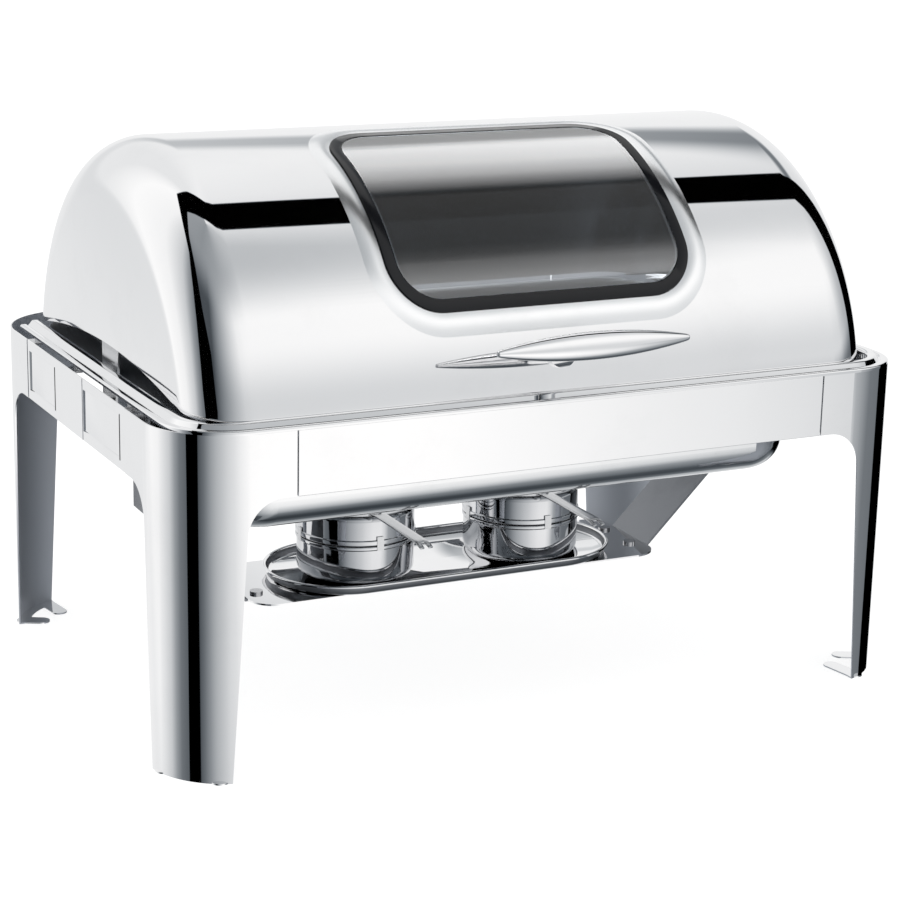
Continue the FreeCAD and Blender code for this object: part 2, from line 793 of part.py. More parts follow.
def make_pins():
    """Shouldered pins, their spacers and their dome nuts, a pair of each."""
    radius = driving("pin_radius")
    gap = driving("face_gap")
    thick = driving("bracket_sheet")
    head, nut = driving("pin_head_radius"), driving("nut_radius")
    nut_in = arm_in - gap - driving("nut_length")
    profiles = {
        "pivot_pins": [(-upright_out - thick, 0), (-upright_out - thick, head), (-upright_out, head),
                       (-upright_out, radius), (-nut_in, radius), (-nut_in, 0)],
        "pivot_spacers": [(-upright_in, radius), (-upright_in, nut), (-arm_out - gap, nut),
                          (-arm_out - gap, radius)],
        "pivot_nuts": [(-arm_in + gap, radius), (-arm_in + gap, nut), (-nut_in, nut), (-nut_in, radius)],
    }
    for label, profile in profiles.items():
        body = new_body(label[:-1], kept=False)
        sketch = new_sketch(body, TOP, pivot_height)
        draw_outline(sketch, profile)
        revolve(body, sketch, "H_Axis")
        group(label, [body, mirrored(body)])


# ---------------------------------------------------------------- lid

window_tilt = driving("window_tilt")
gasket_half = driving("window_length") / 2
gasket_rise = lid_radius * sine(driving("window_half_angle"))
glass_top = lid_radius + driving("glass_thickness")


def cut_window(body, half_x, half_y, corner, outside=False):
    """Cut the window's outline out along the window's own direction, or cut all that is outside it."""
    sketch = radial_sketch(body, window_tilt)
    draw_rectangle(sketch, half_x, half_y, corner)
    if outside:
        draw_rectangle(sketch, lid_half * 2, lid_radius * 2)
    pocket(body, sketch, reverse=True)


def make_lid_shell():
    """Pressed shell: a round roof with flat ends, which are arched up over the pan's supports."""
    body = new_body("lid_shell")
    sketch = new_sketch(body, SIDE)
    draw_arc_and_chord(sketch, pivot_height, lid_radius, lid_base)
    pad(body, sketch, lid_half * 2, symmetric=True)
    dress(body, "Fillet", edges_where(body, lambda edge: not is_level(edge, lid_base.number)
                                      and edge.BoundBox.XLength < 1e-4), driving("lid_end_radius"))
    dress(body, "Thickness", faces_where(body, lambda face: faces_along(face, Vector(0, 0, -1))),
          driving("lid_sheet")).Reversed = True
    half_span, rise = lid_radius - driving("lid_arch_margin"), driving("lid_arch_rise")
    arch_radius = (half_span * half_span + rise * rise) / (rise * 2)
    sketch = new_sketch(body, SIDE)
    draw_arc_and_chord(sketch, lid_base + rise - arch_radius, arch_radius, lid_base - frame_sheet)
    pocket(body, sketch, symmetric=True)
    inset = driving("window_border") + driving("glass_seat")
    cut_window(body, gasket_half - inset, gasket_rise - inset, driving("window_corner") - inset)


def make_window_band(label, inner, outer, outline, opening=None):
    """Curved plate between two radii of the lid, trimmed to the window's outline."""
    body = new_body(label)
    sketch = new_sketch(body, TOP, pivot_height)
    draw_rectangle(sketch, outline[0] + frame_sheet, (outer - inner) / 2, y=-(outer + inner) / 2)
    revolve(body, sketch, "H_Axis", window_tilt * 2).Reversed = True
    cut_window(body, *outline, outside=True)
    if opening:
        cut_window(body, *opening)


def make_window():
    border, corner, seat = driving("window_border"), driving("window_corner"), driving("glass_seat")

    def outline(step):
        return (gasket_half + step, gasket_rise + step, corner + step)

    make_window_band("window_surround", lid_radius, lid_radius + driving("surround_sheet"),
                     outline(driving("window_surround")), outline(driving("pin_clearance")))
    make_window_band("window_gasket", lid_radius, glass_top, outline(0), outline(-border))
    make_window_band("window_glass", lid_radius, glass_top, outline(-border))
    shell_inner = lid_radius - driving("lid_sheet")
    make_window_band("window_retainer", shell_inner - driving("surround_sheet"), shell_inner,
                     outline(seat - border), outline(-seat - border))


def make_hinge_arms():
    """Arm welded inside each end of the lid, hanging down to the pivot pin."""
    radius = driving("arm_radius")
    top = lid_base + driving("lid_arch_rise") + driving("arm_lap")
    body = new_body("hinge_arm_left")
    sketch = new_sketch(body, SIDE, -arm_out)
    draw_outline(sketch, [(-driving("arm_flare"), top, radius / 2), (radius, top, radius / 2),
                          (radius, pivot_height - radius, radius * 0.99),
                          (-radius, pivot_height - radius, radius * 0.99)])
    pad(body, sketch, driving("arm_sheet"))
    sketch = new_sketch(body, SIDE, -arm_out)
    draw_circle(sketch, 0, pivot_height, driving("pin_radius") + driving("pin_clearance"))
    pocket(body, sketch, driving("arm_sheet"), reverse=True)
    mirror(body, "hinge_arm_right", across_length=True)


def make_handle():
    """Leaf-shaped bar on one central post, bolted through the lid."""
    half = driving("handle_length") / 2
    belly, tip = driving("handle_height") / 2, driving("handle_tip") / 2
    thickness = driving("handle_thickness")
    body = new_body("handle_bar")
    sketch = radial_sketch(body, handle_tilt, handle_radius)
    top = sketch.addGeometry(Part.Arc(Vector(half.number, tip.number, 0), Vector(0, belly.number, 0),
                                      Vector(-half.number, tip.number, 0)))
    bottom = sketch.addGeometry(Part.Arc(Vector(-half.number, -tip.number, 0), Vector(0, -belly.number, 0),
                                         Vector(half.number, -tip.number, 0)))
    left = sketch.addGeometry(Part.LineSegment(Vector(-half.number, tip.number, 0),
                                               Vector(-half.number, -tip.number, 0)))
    right = sketch.addGeometry(Part.LineSegment(Vector(half.number, -tip.number, 0),
                                                Vector(half.number, tip.number, 0)))
    for first, end, second, start in ((top, 2, left, 1), (left, 2, bottom, 1),
                                      (bottom, 2, right, 1), (right, 2, top, 1)):
        sketch.addConstraint(Sketcher.Constraint("Coincident", first, end, second, start))
    bow = belly - tip
    arc_radius = (half * half + bow * bow) / (bow * 2)
    hold_point(sketch, left, 1, -half, tip)
    hold_point(sketch, left, 2, -half, -tip)
    hold_point(sketch, right, 1, half, -tip)
    hold_point(sketch, right, 2, half, tip)
    hold_radius(sketch, top, arc_radius)
    hold_radius(sketch, bottom, arc_radius)
    pad(body, sketch, thickness, symmetric=True)
    dress(body, "Fillet", edges_where(body, lambda edge: True), driving("handle_rounding"))

    foot = lid_radius - driving("lid_sheet")
    back = handle_radius - thickness / 2
    body = new_body("handle_post")
    for radius, height in ((driving("post_radius"), back - foot),
                           (driving("post_flange_radius"), driving("lid_sheet") + driving("post_flange"))):
        sketch = radial_sketch(body, handle_tilt, foot)
        draw_circle(sketch, 0, 0, radius)
        pad(body, sketch, height)
    cut_by_lid(body, lid_radius)

    body = new_body("handle_bolt")
    head = driving("bolt_head_height")
    sketch = radial_sketch(body, handle_tilt, foot - driving("face_gap") - head)
    draw_circle(sketch, 0, 0, driving("bolt_head_radius"))
    pad(body, sketch, head)


def cut_by_lid(body, radius):
    """Trim a piece that stands on the lid so that its foot follows the round surface."""
    before = volume_of(body)
    groove = body.newObject("PartDesign::Groove", f"{body.Name}_Groove")
    sketch = new_sketch(body, TOP, pivot_height)
    draw_outline(sketch, [(-lid_radius / 2, 0), (lid_radius / 2, 0), (lid_radius / 2, radius),
                          (-lid_radius / 2, radius)])
    groove.Profile = sketch
    groove.ReferenceAxis = (sketch, ["H_Axis"])
    groove.Angle = 360
    body.Tip = groove
    if volume_of(body) >= before:
        raise RuntimeError(f"{groove.Name} cut nothing")


# ---------------------------------------------------------------- pans

def make_pan(label, half_x, half_y, flange_x, flange_y, flange_base):
    """Deep-drawn pan: rounded walls and floor, and a level flange whose underside is at flange_base."""
    thick = driving("pan_sheet")
    body = new_body(label)
    kind = label.split("_")[0]
    depth, corner = driving(f"{kind}_depth"), driving(f"{kind}_corner")
    bottom = flange_base + thick - depth
    sketch = new_sketch(body, TOP, bottom)
    draw_rectangle(sketch, half_x, half_y, corner)
    pad(body, sketch, depth)
    dress(body, "Fillet", edges_where(body, lambda edge: is_level(edge, bottom.number)),
          driving(f"{kind}_rounding"))
    dress(body, "Thickness", faces_where(body, lambda face: faces_along(face, Vector(0, 0, 1))),
          thick).Reversed = True
    sketch = new_sketch(body, TOP, flange_base)
    draw_rectangle(sketch, flange_x, flange_y, corner)
    draw_rectangle(sketch, half_x - thick / 2, half_y - thick / 2, corner - thick / 2)
    pad(body, sketch, thick)


def make_pans():
    make_pan("water_pan", water_half_length, water_half_width, flange_half_length, flange_half_width,
             ledge_top)
    make_pan("food_pan", driving("food_length") / 2, driving("food_width") / 2,
             driving("food_flange_length") / 2, driving("food_flange_width") / 2,
             ledge_top + driving("pan_sheet"))


# ---------------------------------------------------------------- fuel shelf

shelf_top = driving("shelf_height")
shelf_bottom = shelf_top - driving("shelf_sheet")


def make_straps():
    """Bent strap from each pivot bracket down to the shelf, riveted at both ends."""
    thick, slope = driving("strap_sheet"), driving("strap_slope")
    flange = driving("strap_flange")
    upper_turn = tangent(slope / 2) * thick
    lower_turn = tangent((90 - slope) / 2) * thick
    bend = shelf_bottom + (strap_in - shelf_half) / tangent(slope)
    body = new_body("hanger_strap_left")
    sketch = new_sketch(body, FRONT)
    draw_outline(sketch, [
        (-strap_in, hem_top), (-strap_in, bend), (-shelf_half, shelf_bottom),
        (flange - shelf_half, shelf_bottom), (flange - shelf_half, shelf_bottom - thick),
        (-shelf_half - lower_turn, shelf_bottom - thick), (-strap_out, bend - upper_turn),
        (-strap_out, hem_top - thick), (-strap_out - flange, hem_top - thick),
        (-strap_out - flange, hem_top)])
    pad(body, sketch, driving("strap_width"), symmetric=True)
    drill(body, hem_top, thick, -bracket_rivet_place, driving("bracket_rivet_spread"))
    drill(body, shelf_bottom, thick, -shelf_rivet_place, driving("shelf_rivet_spread"))
    mirror(body, "hanger_strap_right", across_length=True)


def make_rivets():
    """Flat-headed rivets through the straps' flanges, four above and four below."""
    head = driving("rivet_head_height")
    strap = driving("strap_sheet")
    stacks = {
        "bracket_rivets": (bracket_rivet_place, web_top, strap + driving("bracket_sheet"),
                           driving("bracket_rivet_spread")),
        "shelf_rivets": (shelf_rivet_place, shelf_top, strap + driving("shelf_sheet"),
                         driving("shelf_rivet_spread")),
    }
    for label, (place, top, grip, spread) in stacks.items():
        bottom = top - grip - head
        stages = ((top, head, driving("rivet_head_radius")), (bottom, head, driving("rivet_head_radius")),
                  (bottom, grip + head * 2, driving("rivet_radius")))
        pieces = []
        for side in (-1, 1):
            body = new_body(label[:-1], x=-place, kept=False)
            for lift, height, radius in stages:
                sketch = new_sketch(body, TOP, lift)
                draw_circle(sketch, 0, spread * side, radius)
                pad(body, sketch, height)
            pieces += [body, mirrored(body)]
        group(label, pieces)


def make_shelf():
    body = new_body("fuel_shelf")
    sketch = new_sketch(body, TOP, shelf_bottom)
    draw_rectangle(sketch, shelf_half, driving("shelf_width") / 2, driving("shelf_corner"))
    pad(body, sketch, driving("shelf_sheet"))
    for place in (-shelf_rivet_place, shelf_rivet_place):
        drill(body, shelf_top, driving("shelf_sheet"), place, driving("shelf_rivet_spread"))

    wall, lip = driving("tray_sheet"), driving("tray_lip")
    centre = tray_half_length - tray_half_width
    body = new_body("fuel_tray")
    for lift, height, inset in ((shelf_top, driving("tray_depth"), lip),
                                (shelf_top + driving("tray_depth") - wall, wall, 0)):
        sketch = new_sketch(body, TOP, lift)
        draw_slot(sketch, (-centre, 0), (centre, 0), tray_half_width - inset)
        pad(body, sketch, height)
    sketch = new_sketch(body, TOP, shelf_top + wall)
    draw_slot(sketch, (-centre, 0), (centre, 0), tray_half_width - tray_rim)
    pocket(body, sketch, driving("tray_depth"), reverse=True)


# ---------------------------------------------------------------- fuel holders

cup_base = shelf_top + driving("tray_sheet")
cup_top = cup_base + driving("cup_height")
cover_base = cup_top + driving("cover_groove")
cover_top = cover_base + driving("cover_height")
damper_base = cover_top + driving("face_gap")
damper_top = damper_base + driving("damper_sheet")


def make_holder(side, hand):
    """One fuel holder: a cup, its cover, the swinging damper with its lever, and two clips."""
    place = driving("fuel_spacing") / 2 * side
    outer, wall = driving("cup_radius"), driving("holder_sheet")
    groove = driving("cover_groove")

    body = new_body(f"fuel_cup_{hand}", x=place)
    sketch = new_sketch(body, FRONT)
    rounding = driving("cup_rounding")
    draw_outline(sketch, [(0, cup_base), (outer, cup_base, rounding), (outer, cup_top),
                          (outer - wall, cup_top), (outer - wall, cup_base + wall, rounding - wall),
                          (0, cup_base + wall)])
    revolve(body, sketch, "V_Axis")

    body = new_body(f"fuel_cover_{hand}", x=place)
    sketch = new_sketch(body, FRONT)
    hole = driving("burner_hole")
    draw_outline(sketch, [
        (outer - wall * 2, cup_top - groove), (outer - wall, cup_top - groove), (outer - wall, cover_base),
        (outer, cover_base), (outer, cover_top, wall * 2), (hole, cover_top), (hole, cover_top - wall),
        (outer - wall, cover_top - wall, wall), (outer - wall, cover_base + wall * 2),
        (outer - wall * 2, cover_base + wall * 2)])
    revolve(body, sketch, "V_Axis")
    sketch = new_sketch(body, TOP, cover_top)
    draw_circle(sketch, 0, -driving("damper_pivot"), driving("rivet_radius"))
    pocket(body, sketch, wall * 2)

    body = new_body(f"damper_{hand}", x=place)
    sketch = new_sketch(body, TOP, damper_base)
    draw_circle(sketch, 0, 0, hole + driving("damper_overlap"))
    pad(body, sketch, driving("damper_sheet"))
    half_lever = driving("lever_width") / 2
    sketch = new_sketch(body, TOP, damper_base)
    draw_slot(sketch, (0, -hole + half_lever), (0, half_lever - driving("lever_reach")), half_lever)
    pad(body, sketch, driving("damper_sheet"))
    sketch = new_sketch(body, TOP, damper_top)
    draw_circle(sketch, 0, -driving("damper_pivot"), driving("rivet_radius") + driving("pin_clearance"))
    pocket(body, sketch, driving("damper_sheet") * 2)

    body = new_body(f"cover_clips_{hand}", x=place)
    half_clip, thick, lap = driving("clip_width") / 2, driving("clip_sheet"), driving("clip_lap")
    for plane in (FRONT, SIDE):
        sketch = new_sketch(body, plane, outer if plane == FRONT else -outer - thick)
        draw_outline(sketch, [(-half_clip, cup_top - lap), (half_clip, cup_top - lap),
                              (half_clip, cover_base + lap), (-half_clip, cover_base + lap)])
        pad(body, sketch, thick)


def make_damper_rivets():
    pieces = []
    radius, wall = driving("rivet_radius"), driving("holder_sheet")
    for side in (-1, 1):
        body = new_body("damper_rivet", x=driving("fuel_spacing") / 2 * side, kept=False)
        sketch = new_sketch(body, TOP, cover_top - wall)
        draw_circle(sketch, 0, -driving("damper_pivot"), radius)
        pad(body, sketch, wall + driving("damper_sheet") + driving("face_gap") * 2)
        sketch = new_sketch(body, TOP, damper_top + driving("face_gap"))
        draw_circle(sketch, 0, -driving("damper_pivot"), driving("rivet_head_radius"))
        pad(body, sketch, driving("rivet_head_height"))
        pieces.append(body)
    group("damper_rivets", pieces)


make_leg()
make_aprons()
make_splices()
make_rim()
make_front_rail()
make_rim_tabs()
make_rest_pads()
make_pivot_brackets()
make_pins()
make_lid_shell()
make_window()
make_hinge_arms()
make_handle()
make_pans()
make_straps()
make_rivets()
make_shelf()
make_holder(-1, "left")
make_holder(1, "right")
make_damper_rivets()
doc.recompute()


# ---------------------------------------------------------------- check and write

for item in doc.Objects:
    if "Invalid" in item.State or "Error" in item.State:
        raise RuntimeError(f"{item.Label} failed: {item.State}")
for item in handed_in:
    if item.Shape.isNull() or not item.Shape.isValid():
        raise RuntimeError(f"{item.Label} has no valid shape")

os.makedirs("parts", exist_ok=True)
for item in handed_in:
    item.Shape.exportStep(f"parts/{item.Label}.step")
print(f"{len(handed_in)} sub-parts, origin shifted back by {origin_shift.number:.3f} mm")
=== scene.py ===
"""Looks of the roll-top chafer, in metres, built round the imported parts: +X right, +Y back, +Z up."""

import json
import math

import bmesh
import bpy
from mathutils import Matrix, Vector


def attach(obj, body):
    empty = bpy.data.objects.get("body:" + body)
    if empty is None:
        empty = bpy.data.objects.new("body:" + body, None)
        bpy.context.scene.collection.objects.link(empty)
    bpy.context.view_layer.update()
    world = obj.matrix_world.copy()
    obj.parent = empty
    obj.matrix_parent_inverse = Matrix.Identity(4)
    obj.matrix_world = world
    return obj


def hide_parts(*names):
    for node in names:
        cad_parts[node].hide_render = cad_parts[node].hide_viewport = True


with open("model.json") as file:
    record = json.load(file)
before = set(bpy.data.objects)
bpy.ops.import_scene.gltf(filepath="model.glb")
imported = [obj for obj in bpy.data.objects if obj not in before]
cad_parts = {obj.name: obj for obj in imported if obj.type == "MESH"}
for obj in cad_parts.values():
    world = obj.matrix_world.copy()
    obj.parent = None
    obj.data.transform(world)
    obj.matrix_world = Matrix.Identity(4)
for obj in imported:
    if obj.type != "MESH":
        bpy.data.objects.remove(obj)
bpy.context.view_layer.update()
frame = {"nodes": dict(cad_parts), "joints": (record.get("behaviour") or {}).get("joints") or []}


# ---- Camera
# A long lens, a little to the left of the object and looking slightly down on it.
camera_data = bpy.data.cameras.new("camera")
camera_data.lens = 95.1
camera_data.sensor_width = 36.0
camera = bpy.data.objects.new("camera", camera_data)
bpy.context.scene.collection.objects.link(camera)
turn_right, look_down, roll = math.radians(26.53), math.radians(15.3), math.radians(1.21)
camera.matrix_world = (Matrix.Translation((-0.8586, -1.7206, 0.6990))
                       @ Matrix.Rotation(-turn_right, 4, "Z")
                       @ Matrix.Rotation(math.pi / 2 - look_down, 4, "X")
                       @ Matrix.Rotation(roll, 4, "Z"))
bpy.context.scene.camera = camera
bpy.context.scene.view_settings.view_transform = "Standard"


# ---- Studio
# A pale floor under a white tent. The tent's two sides meet over the lid, where a black gap shows
# in polished metal, and the gap runs down to the floor as a black flag at the left and at the right.

def add_node(tree, kind, inputs=None, **settings):
    """New node with its settings, and its inputs given as numbers or as sockets to link."""
    made = tree.nodes.new(kind)
    for name, value in settings.items():
        setattr(made, name, value)
    for name, value in (inputs or {}).items():
        if isinstance(value, bpy.types.NodeSocket):
            tree.links.new(value, made.inputs[name])
        else:
            made.inputs[name].default_value = value
    return made


def maths(tree, operation, *values):
    """Output of a Math node."""
    made = add_node(tree, "ShaderNodeMath", dict(enumerate(values)), operation=operation)
    return made.outputs[0]


def remap(tree, value, low, high, to_low=0.0, to_high=1.0, smooth=False):
    """Output that goes from to_low to to_high while value goes from low to high."""
    made = add_node(tree, "ShaderNodeMapRange",
                    {0: value, 1: low, 2: high, 3: to_low, 4: to_high},
                    interpolation_type="SMOOTHSTEP" if smooth else "LINEAR")
    return made.outputs[0]


def ramp(tree, value, stops, interpolation="LINEAR"):
    """Colour ramp from (place, grey or colour) stops."""
    made = add_node(tree, "ShaderNodeValToRGB", {0: value})
    made.color_ramp.interpolation = interpolation
    elements = made.color_ramp.elements
    for place, _ in stops[2:]:
        elements.new(place)
    for element, (place, colour) in zip(elements, stops):
        element.position = place
        colour = (colour,) * 3 if isinstance(colour, (int, float)) else colour
        element.color = (*colour, 1.0)
    return made.outputs[0]


def by_angle(tree, degrees_socket, stops):
    """Colour ramp whose stops are given in degrees from -180 to 180."""
    share = remap(tree, degrees_socket, -180.0, 180.0)
    return ramp(tree, share, [((angle + 180) / 360, colour) for angle, colour in stops])


def blend_values(tree, share, first, second):
    """Number between the first and the second, by share."""
    made = add_node(tree, "ShaderNodeMix", {0: share, 2: first, 3: second})
    return made.outputs[0]


tent = bpy.data.worlds.new("tent")
tent.use_nodes = True
bpy.context.scene.world = tent
tree = tent.node_tree
tree.nodes.clear()
direction = add_node(tree, "ShaderNodeTexCoord").outputs["Generated"]
axes = add_node(tree, "ShaderNodeSeparateXYZ", {0: direction})
east, north, up = axes.outputs[0], axes.outputs[1], axes.outputs[2]
# bearing from the front, positive towards the left; tilt_over from overhead, positive to the right
bearing = maths(tree, "DEGREES", maths(tree, "ARCTAN2", maths(tree, "MULTIPLY", east, -1.0),
                                       maths(tree, "MULTIPLY", north, -1.0)))
tilt_over = maths(tree, "DEGREES", maths(tree, "ARCTAN2", east, up))

# the gap: red holds its middle in Y, as a half plus half of it, and green holds its half width
gap = by_angle(tree, tilt_over, [
    (-180, (0.30, 0.10, 0)), (-107, (0.308, 0.115, 0)), (-86, (0.325, 0.21, 0)), (-65, (0.36, 0.17, 0)),
    (-54, (0.415, 0.10, 0)), (-40, (0.478, 0.055, 0)), (-30, (0.558, 0.055, 0)), (-17, (0.64, 0.09, 0)),
    (-3, (0.60, 0.13, 0)), (12, (0.545, 0.118, 0)), (40, (0.537, 0.113, 0)), (75, (0.60, 0.20, 0)),
    (107, (0.65, 0.30, 0)), (180, (0.65, 0.25, 0))])
gap_parts = add_node(tree, "ShaderNodeSeparateColor", {0: gap})
gap_middle = remap(tree, gap_parts.outputs[0], 0.0, 1.0, -1.0, 1.0)
beyond = maths(tree, "SUBTRACT", north, gap_middle)
edge = maths(tree, "SUBTRACT", maths(tree, "ABSOLUTE", beyond), gap_parts.outputs[1])
open_share = maths(tree, "MAXIMUM", remap(tree, edge, 0.0, 0.012, smooth=True),
                   remap(tree, up, -0.42, -0.60, smooth=True))

front_low = by_angle(tree, bearing, [
    (-180, 0.75), (-135, 0.5), (-90, 0.16), (-68, 0.18), (-54, 0.32), (-42, 0.42), (-34, 0.80),
    (-26, 1.0), (-10, 0.98), (4, 0.84), (12, 0.72), (20, 0.63), (27, 0.53), (34, 0.44), (42, 0.31),
    (50, 0.16), (58, 0.07)])
front_middle = by_angle(tree, bearing, [
    (-180, 0.8), (-90, 0.56), (-79, 0.62), (-66, 0.78), (-57, 0.92), (-33, 0.95), (-22, 0.92), (-10, 0.90),
    (4, 0.84), (20, 0.63), (42, 0.31), (58, 0.07)])
front_low = blend_values(tree, remap(tree, up, -0.05, 0.12, smooth=True), front_low, front_middle)
front_high = by_angle(tree, bearing, [
    (-180, 0.80), (-120, 0.80), (-90, 0.75), (-60, 0.52), (-30, 0.46), (0, 0.40), (30, 0.33), (70, 0.28),
    (100, 0.30), (180, 0.35)])
front = blend_values(tree, remap(tree, up, 0.66, 0.93, smooth=True), front_low, front_high)
horizon_dip = remap(tree, maths(tree, "ABSOLUTE", maths(tree, "SUBTRACT", up, 0.14)), 0.02, 0.42,
                    0.72, 1.0, smooth=True)
front = maths(tree, "MULTIPLY", front, horizon_dip)
behind = by_angle(tree, bearing, [
    (-180, 0.78), (-150, 0.85), (-130, 0.80), (-90, 0.6), (75, 0.12), (84, 0.17), (92, 0.32), (100, 0.58),
    (120, 0.88), (145, 0.95), (161, 0.78), (180, 0.78)])
fold = maths(tree, "SUBTRACT", up, maths(tree, "ADD", 0.15, maths(tree, "MULTIPLY", east, 0.8)))
fold_depth = remap(tree, east, 0.1, 0.6, 0.9, 0.25)
behind = maths(tree, "MULTIPLY", behind,
               remap(tree, maths(tree, "ABSOLUTE", fold), 0.03, 0.16, fold_depth, 1.0, smooth=True))
is_behind = remap(tree, beyond, -0.01, 0.01)
light = maths(tree, "MULTIPLY", blend_values(tree, is_behind, front, behind), open_share)
below = ramp(tree, maths(tree, "MULTIPLY", up, -1.0),
             [(0.0, 1.0), (0.36, 1.0), (0.50, 0.88), (0.64, 0.72), (0.81, 0.50), (0.90, 0.30), (1.0, 0.18)])
light = maths(tree, "MULTIPLY", light, below)
# This is not plain studio light. The camera and matt surfaces see even white, and polished metal sees
# the tent. Light that comes through the window is cut down, and sharp reflections, which only the
# window gives, see panels of their own. The stops were fitted by grey level to one view.
tent_gain, window_share, panel_gain = 1.12, 0.25, 7.0
rays = add_node(tree, "ShaderNodeLightPath")
is_glossy = maths(tree, "MAXIMUM", rays.outputs["Is Glossy Ray"], rays.outputs["Is Transmission Ray"])
seen = blend_values(tree, is_glossy, 1.0, maths(tree, "MULTIPLY", light, tent_gain))
seen = blend_values(tree, rays.outputs["Is Transmission Ray"], seen,
                    maths(tree, "MULTIPLY", seen, window_share))
# greys are a little cool, white stays white
cool = add_node(tree, "ShaderNodeCombineColor", {0: maths(tree, "POWER", seen, 1.055), 1: seen,
                                                 2: maths(tree, "POWER", seen, 0.95)})
# the window alone mirrors sharply: bright panels over it and before it, dark between them
over_back = maths(tree, "DEGREES", maths(tree, "ARCTAN2", up, north))
panels = by_angle(tree, over_back, [
    (30, 0.2), (39, 0.28), (44, 0.85), (58, 1.0), (67, 0.75), (71, 0.45), (75, 0.2), (77, 0.03), (80, 0.09),
    (108, 0.09), (113, 0.16), (117, 0.4), (126, 0.8), (128, 0.4), (180, 0.3)])
is_pane = maths(tree, "MULTIPLY", rays.outputs["Is Singular Ray"],
                maths(tree, "SUBTRACT", 1.0, rays.outputs["Is Transmission Ray"]))
is_pane = maths(tree, "MULTIPLY", is_pane, is_glossy)
seen = add_node(tree, "ShaderNodeMix", {0: is_pane, 6: cool.outputs[0],
                                        7: maths(tree, "MULTIPLY", panels, panel_gain)}, data_type="RGBA")
sky = add_node(tree, "ShaderNodeBackground", {"Color": seen.outputs[2]})
result = add_node(tree, "ShaderNodeOutputWorld", {"Surface": sky.outputs[0]})

# the floor is partly lit by itself, for a faint shadow only, and polished metal doesn't mirror it
floor_mesh = bmesh.new()
bmesh.ops.create_grid(floor_mesh, x_segments=2, y_segments=2, size=30.0)
floor_data = bpy.data.meshes.new("floor")
floor_mesh.to_mesh(floor_data)
floor_mesh.free()
floor = bpy.data.objects.new("floor", floor_data)
bpy.context.scene.collection.objects.link(floor)
floor.visible_glossy = False
paint = bpy.data.materials.new("floor_paint")
paint.use_nodes = True
paint.node_tree.nodes["Principled BSDF"].inputs["Base Color"].default_value = (0.4, 0.4, 0.4, 1.0)
paint.node_tree.nodes["Principled BSDF"].inputs["Roughness"].default_value = 0.9
paint.node_tree.nodes["Principled BSDF"].inputs["Specular IOR Level"].default_value = 0.0
paint.node_tree.nodes["Principled BSDF"].inputs["Emission Color"].default_value = (1.0, 1.0, 1.0, 1.0)
paint.node_tree.nodes["Principled BSDF"].inputs["Emission Strength"].default_value = 0.8
floor_data.materials.append(paint)


# ---- Frame
# Four legs and four aprons of 1.2 mm stainless sheet, bent, spot welded and polished to a mirror on
# the outside only. Handling leaves faint smears on them, and the rolled sheet is never quite flat.
# The faces that look in under the chafer are satin, and darker and cooler in colour as painted shade.

def new_group(name, inputs, outputs):
    """Empty shader node group with number sockets, and the sockets of its input and output nodes."""
    made = bpy.data.node_groups.new(name, "ShaderNodeTree")
    for socket, value in inputs.items():
        made.interface.new_socket(name=socket, in_out="INPUT",
                                  socket_type="NodeSocketFloat").default_value = value
    for socket in outputs:
        made.interface.new_socket(name=socket, in_out="OUTPUT", socket_type="NodeSocketFloat")
    given = made.nodes.new("NodeGroupInput").outputs
    result = made.nodes.new("NodeGroupOutput").inputs
    return made, given, result


def make_handling_group():
    """Smears from hands and cloths, and hairline wiping marks, as roughness and as height."""
    group, given, result = new_group(
        "handling", {"Base": 0.04, "Smears": 0.05, "Hairlines": 0.3}, ("Roughness", "Height"))
    place = add_node(group, "ShaderNodeTexCoord").outputs["Object"]
    smears = add_node(group, "ShaderNodeTexNoise",
                      {"Vector": place, "Scale": 14.0, "Detail": 5.0, "Roughness": 0.65})
    patches = remap(group, smears.outputs[0], 0.48, 0.72, smooth=True)
    stretched = add_node(group, "ShaderNodeMapping", {0: place, "Scale": (40.0, 900.0, 900.0)})
    lines = add_node(group, "ShaderNodeTexNoise",
                     {"Vector": stretched.outputs[0], "Scale": 1.0, "Detail": 2.0})
    marks = remap(group, lines.outputs[0], 0.55, 0.8)
    rough = maths(group, "MULTIPLY_ADD", patches, given["Smears"], given["Base"])
    rough = maths(group, "MULTIPLY_ADD", maths(group, "MULTIPLY", marks, given["Hairlines"]), 0.05, rough)
    group.links.new(rough, result["Roughness"])
    group.links.new(maths(group, "MULTIPLY", lines.outputs[0], given["Hairlines"]), result["Height"])
    return group


def make_waves_group():
    """Slow waves in thin rolled sheet, as height."""
    group, given, result = new_group("sheet_waves", {"Scale": 7.0}, ("Height",))
    place = add_node(group, "ShaderNodeTexCoord").outputs["Object"]
    slow = add_node(group, "ShaderNodeTexNoise", {"Vector": place, "Scale": given["Scale"], "Detail": 1.0})
    group.links.new(slow.outputs[0], result["Height"])
    return group


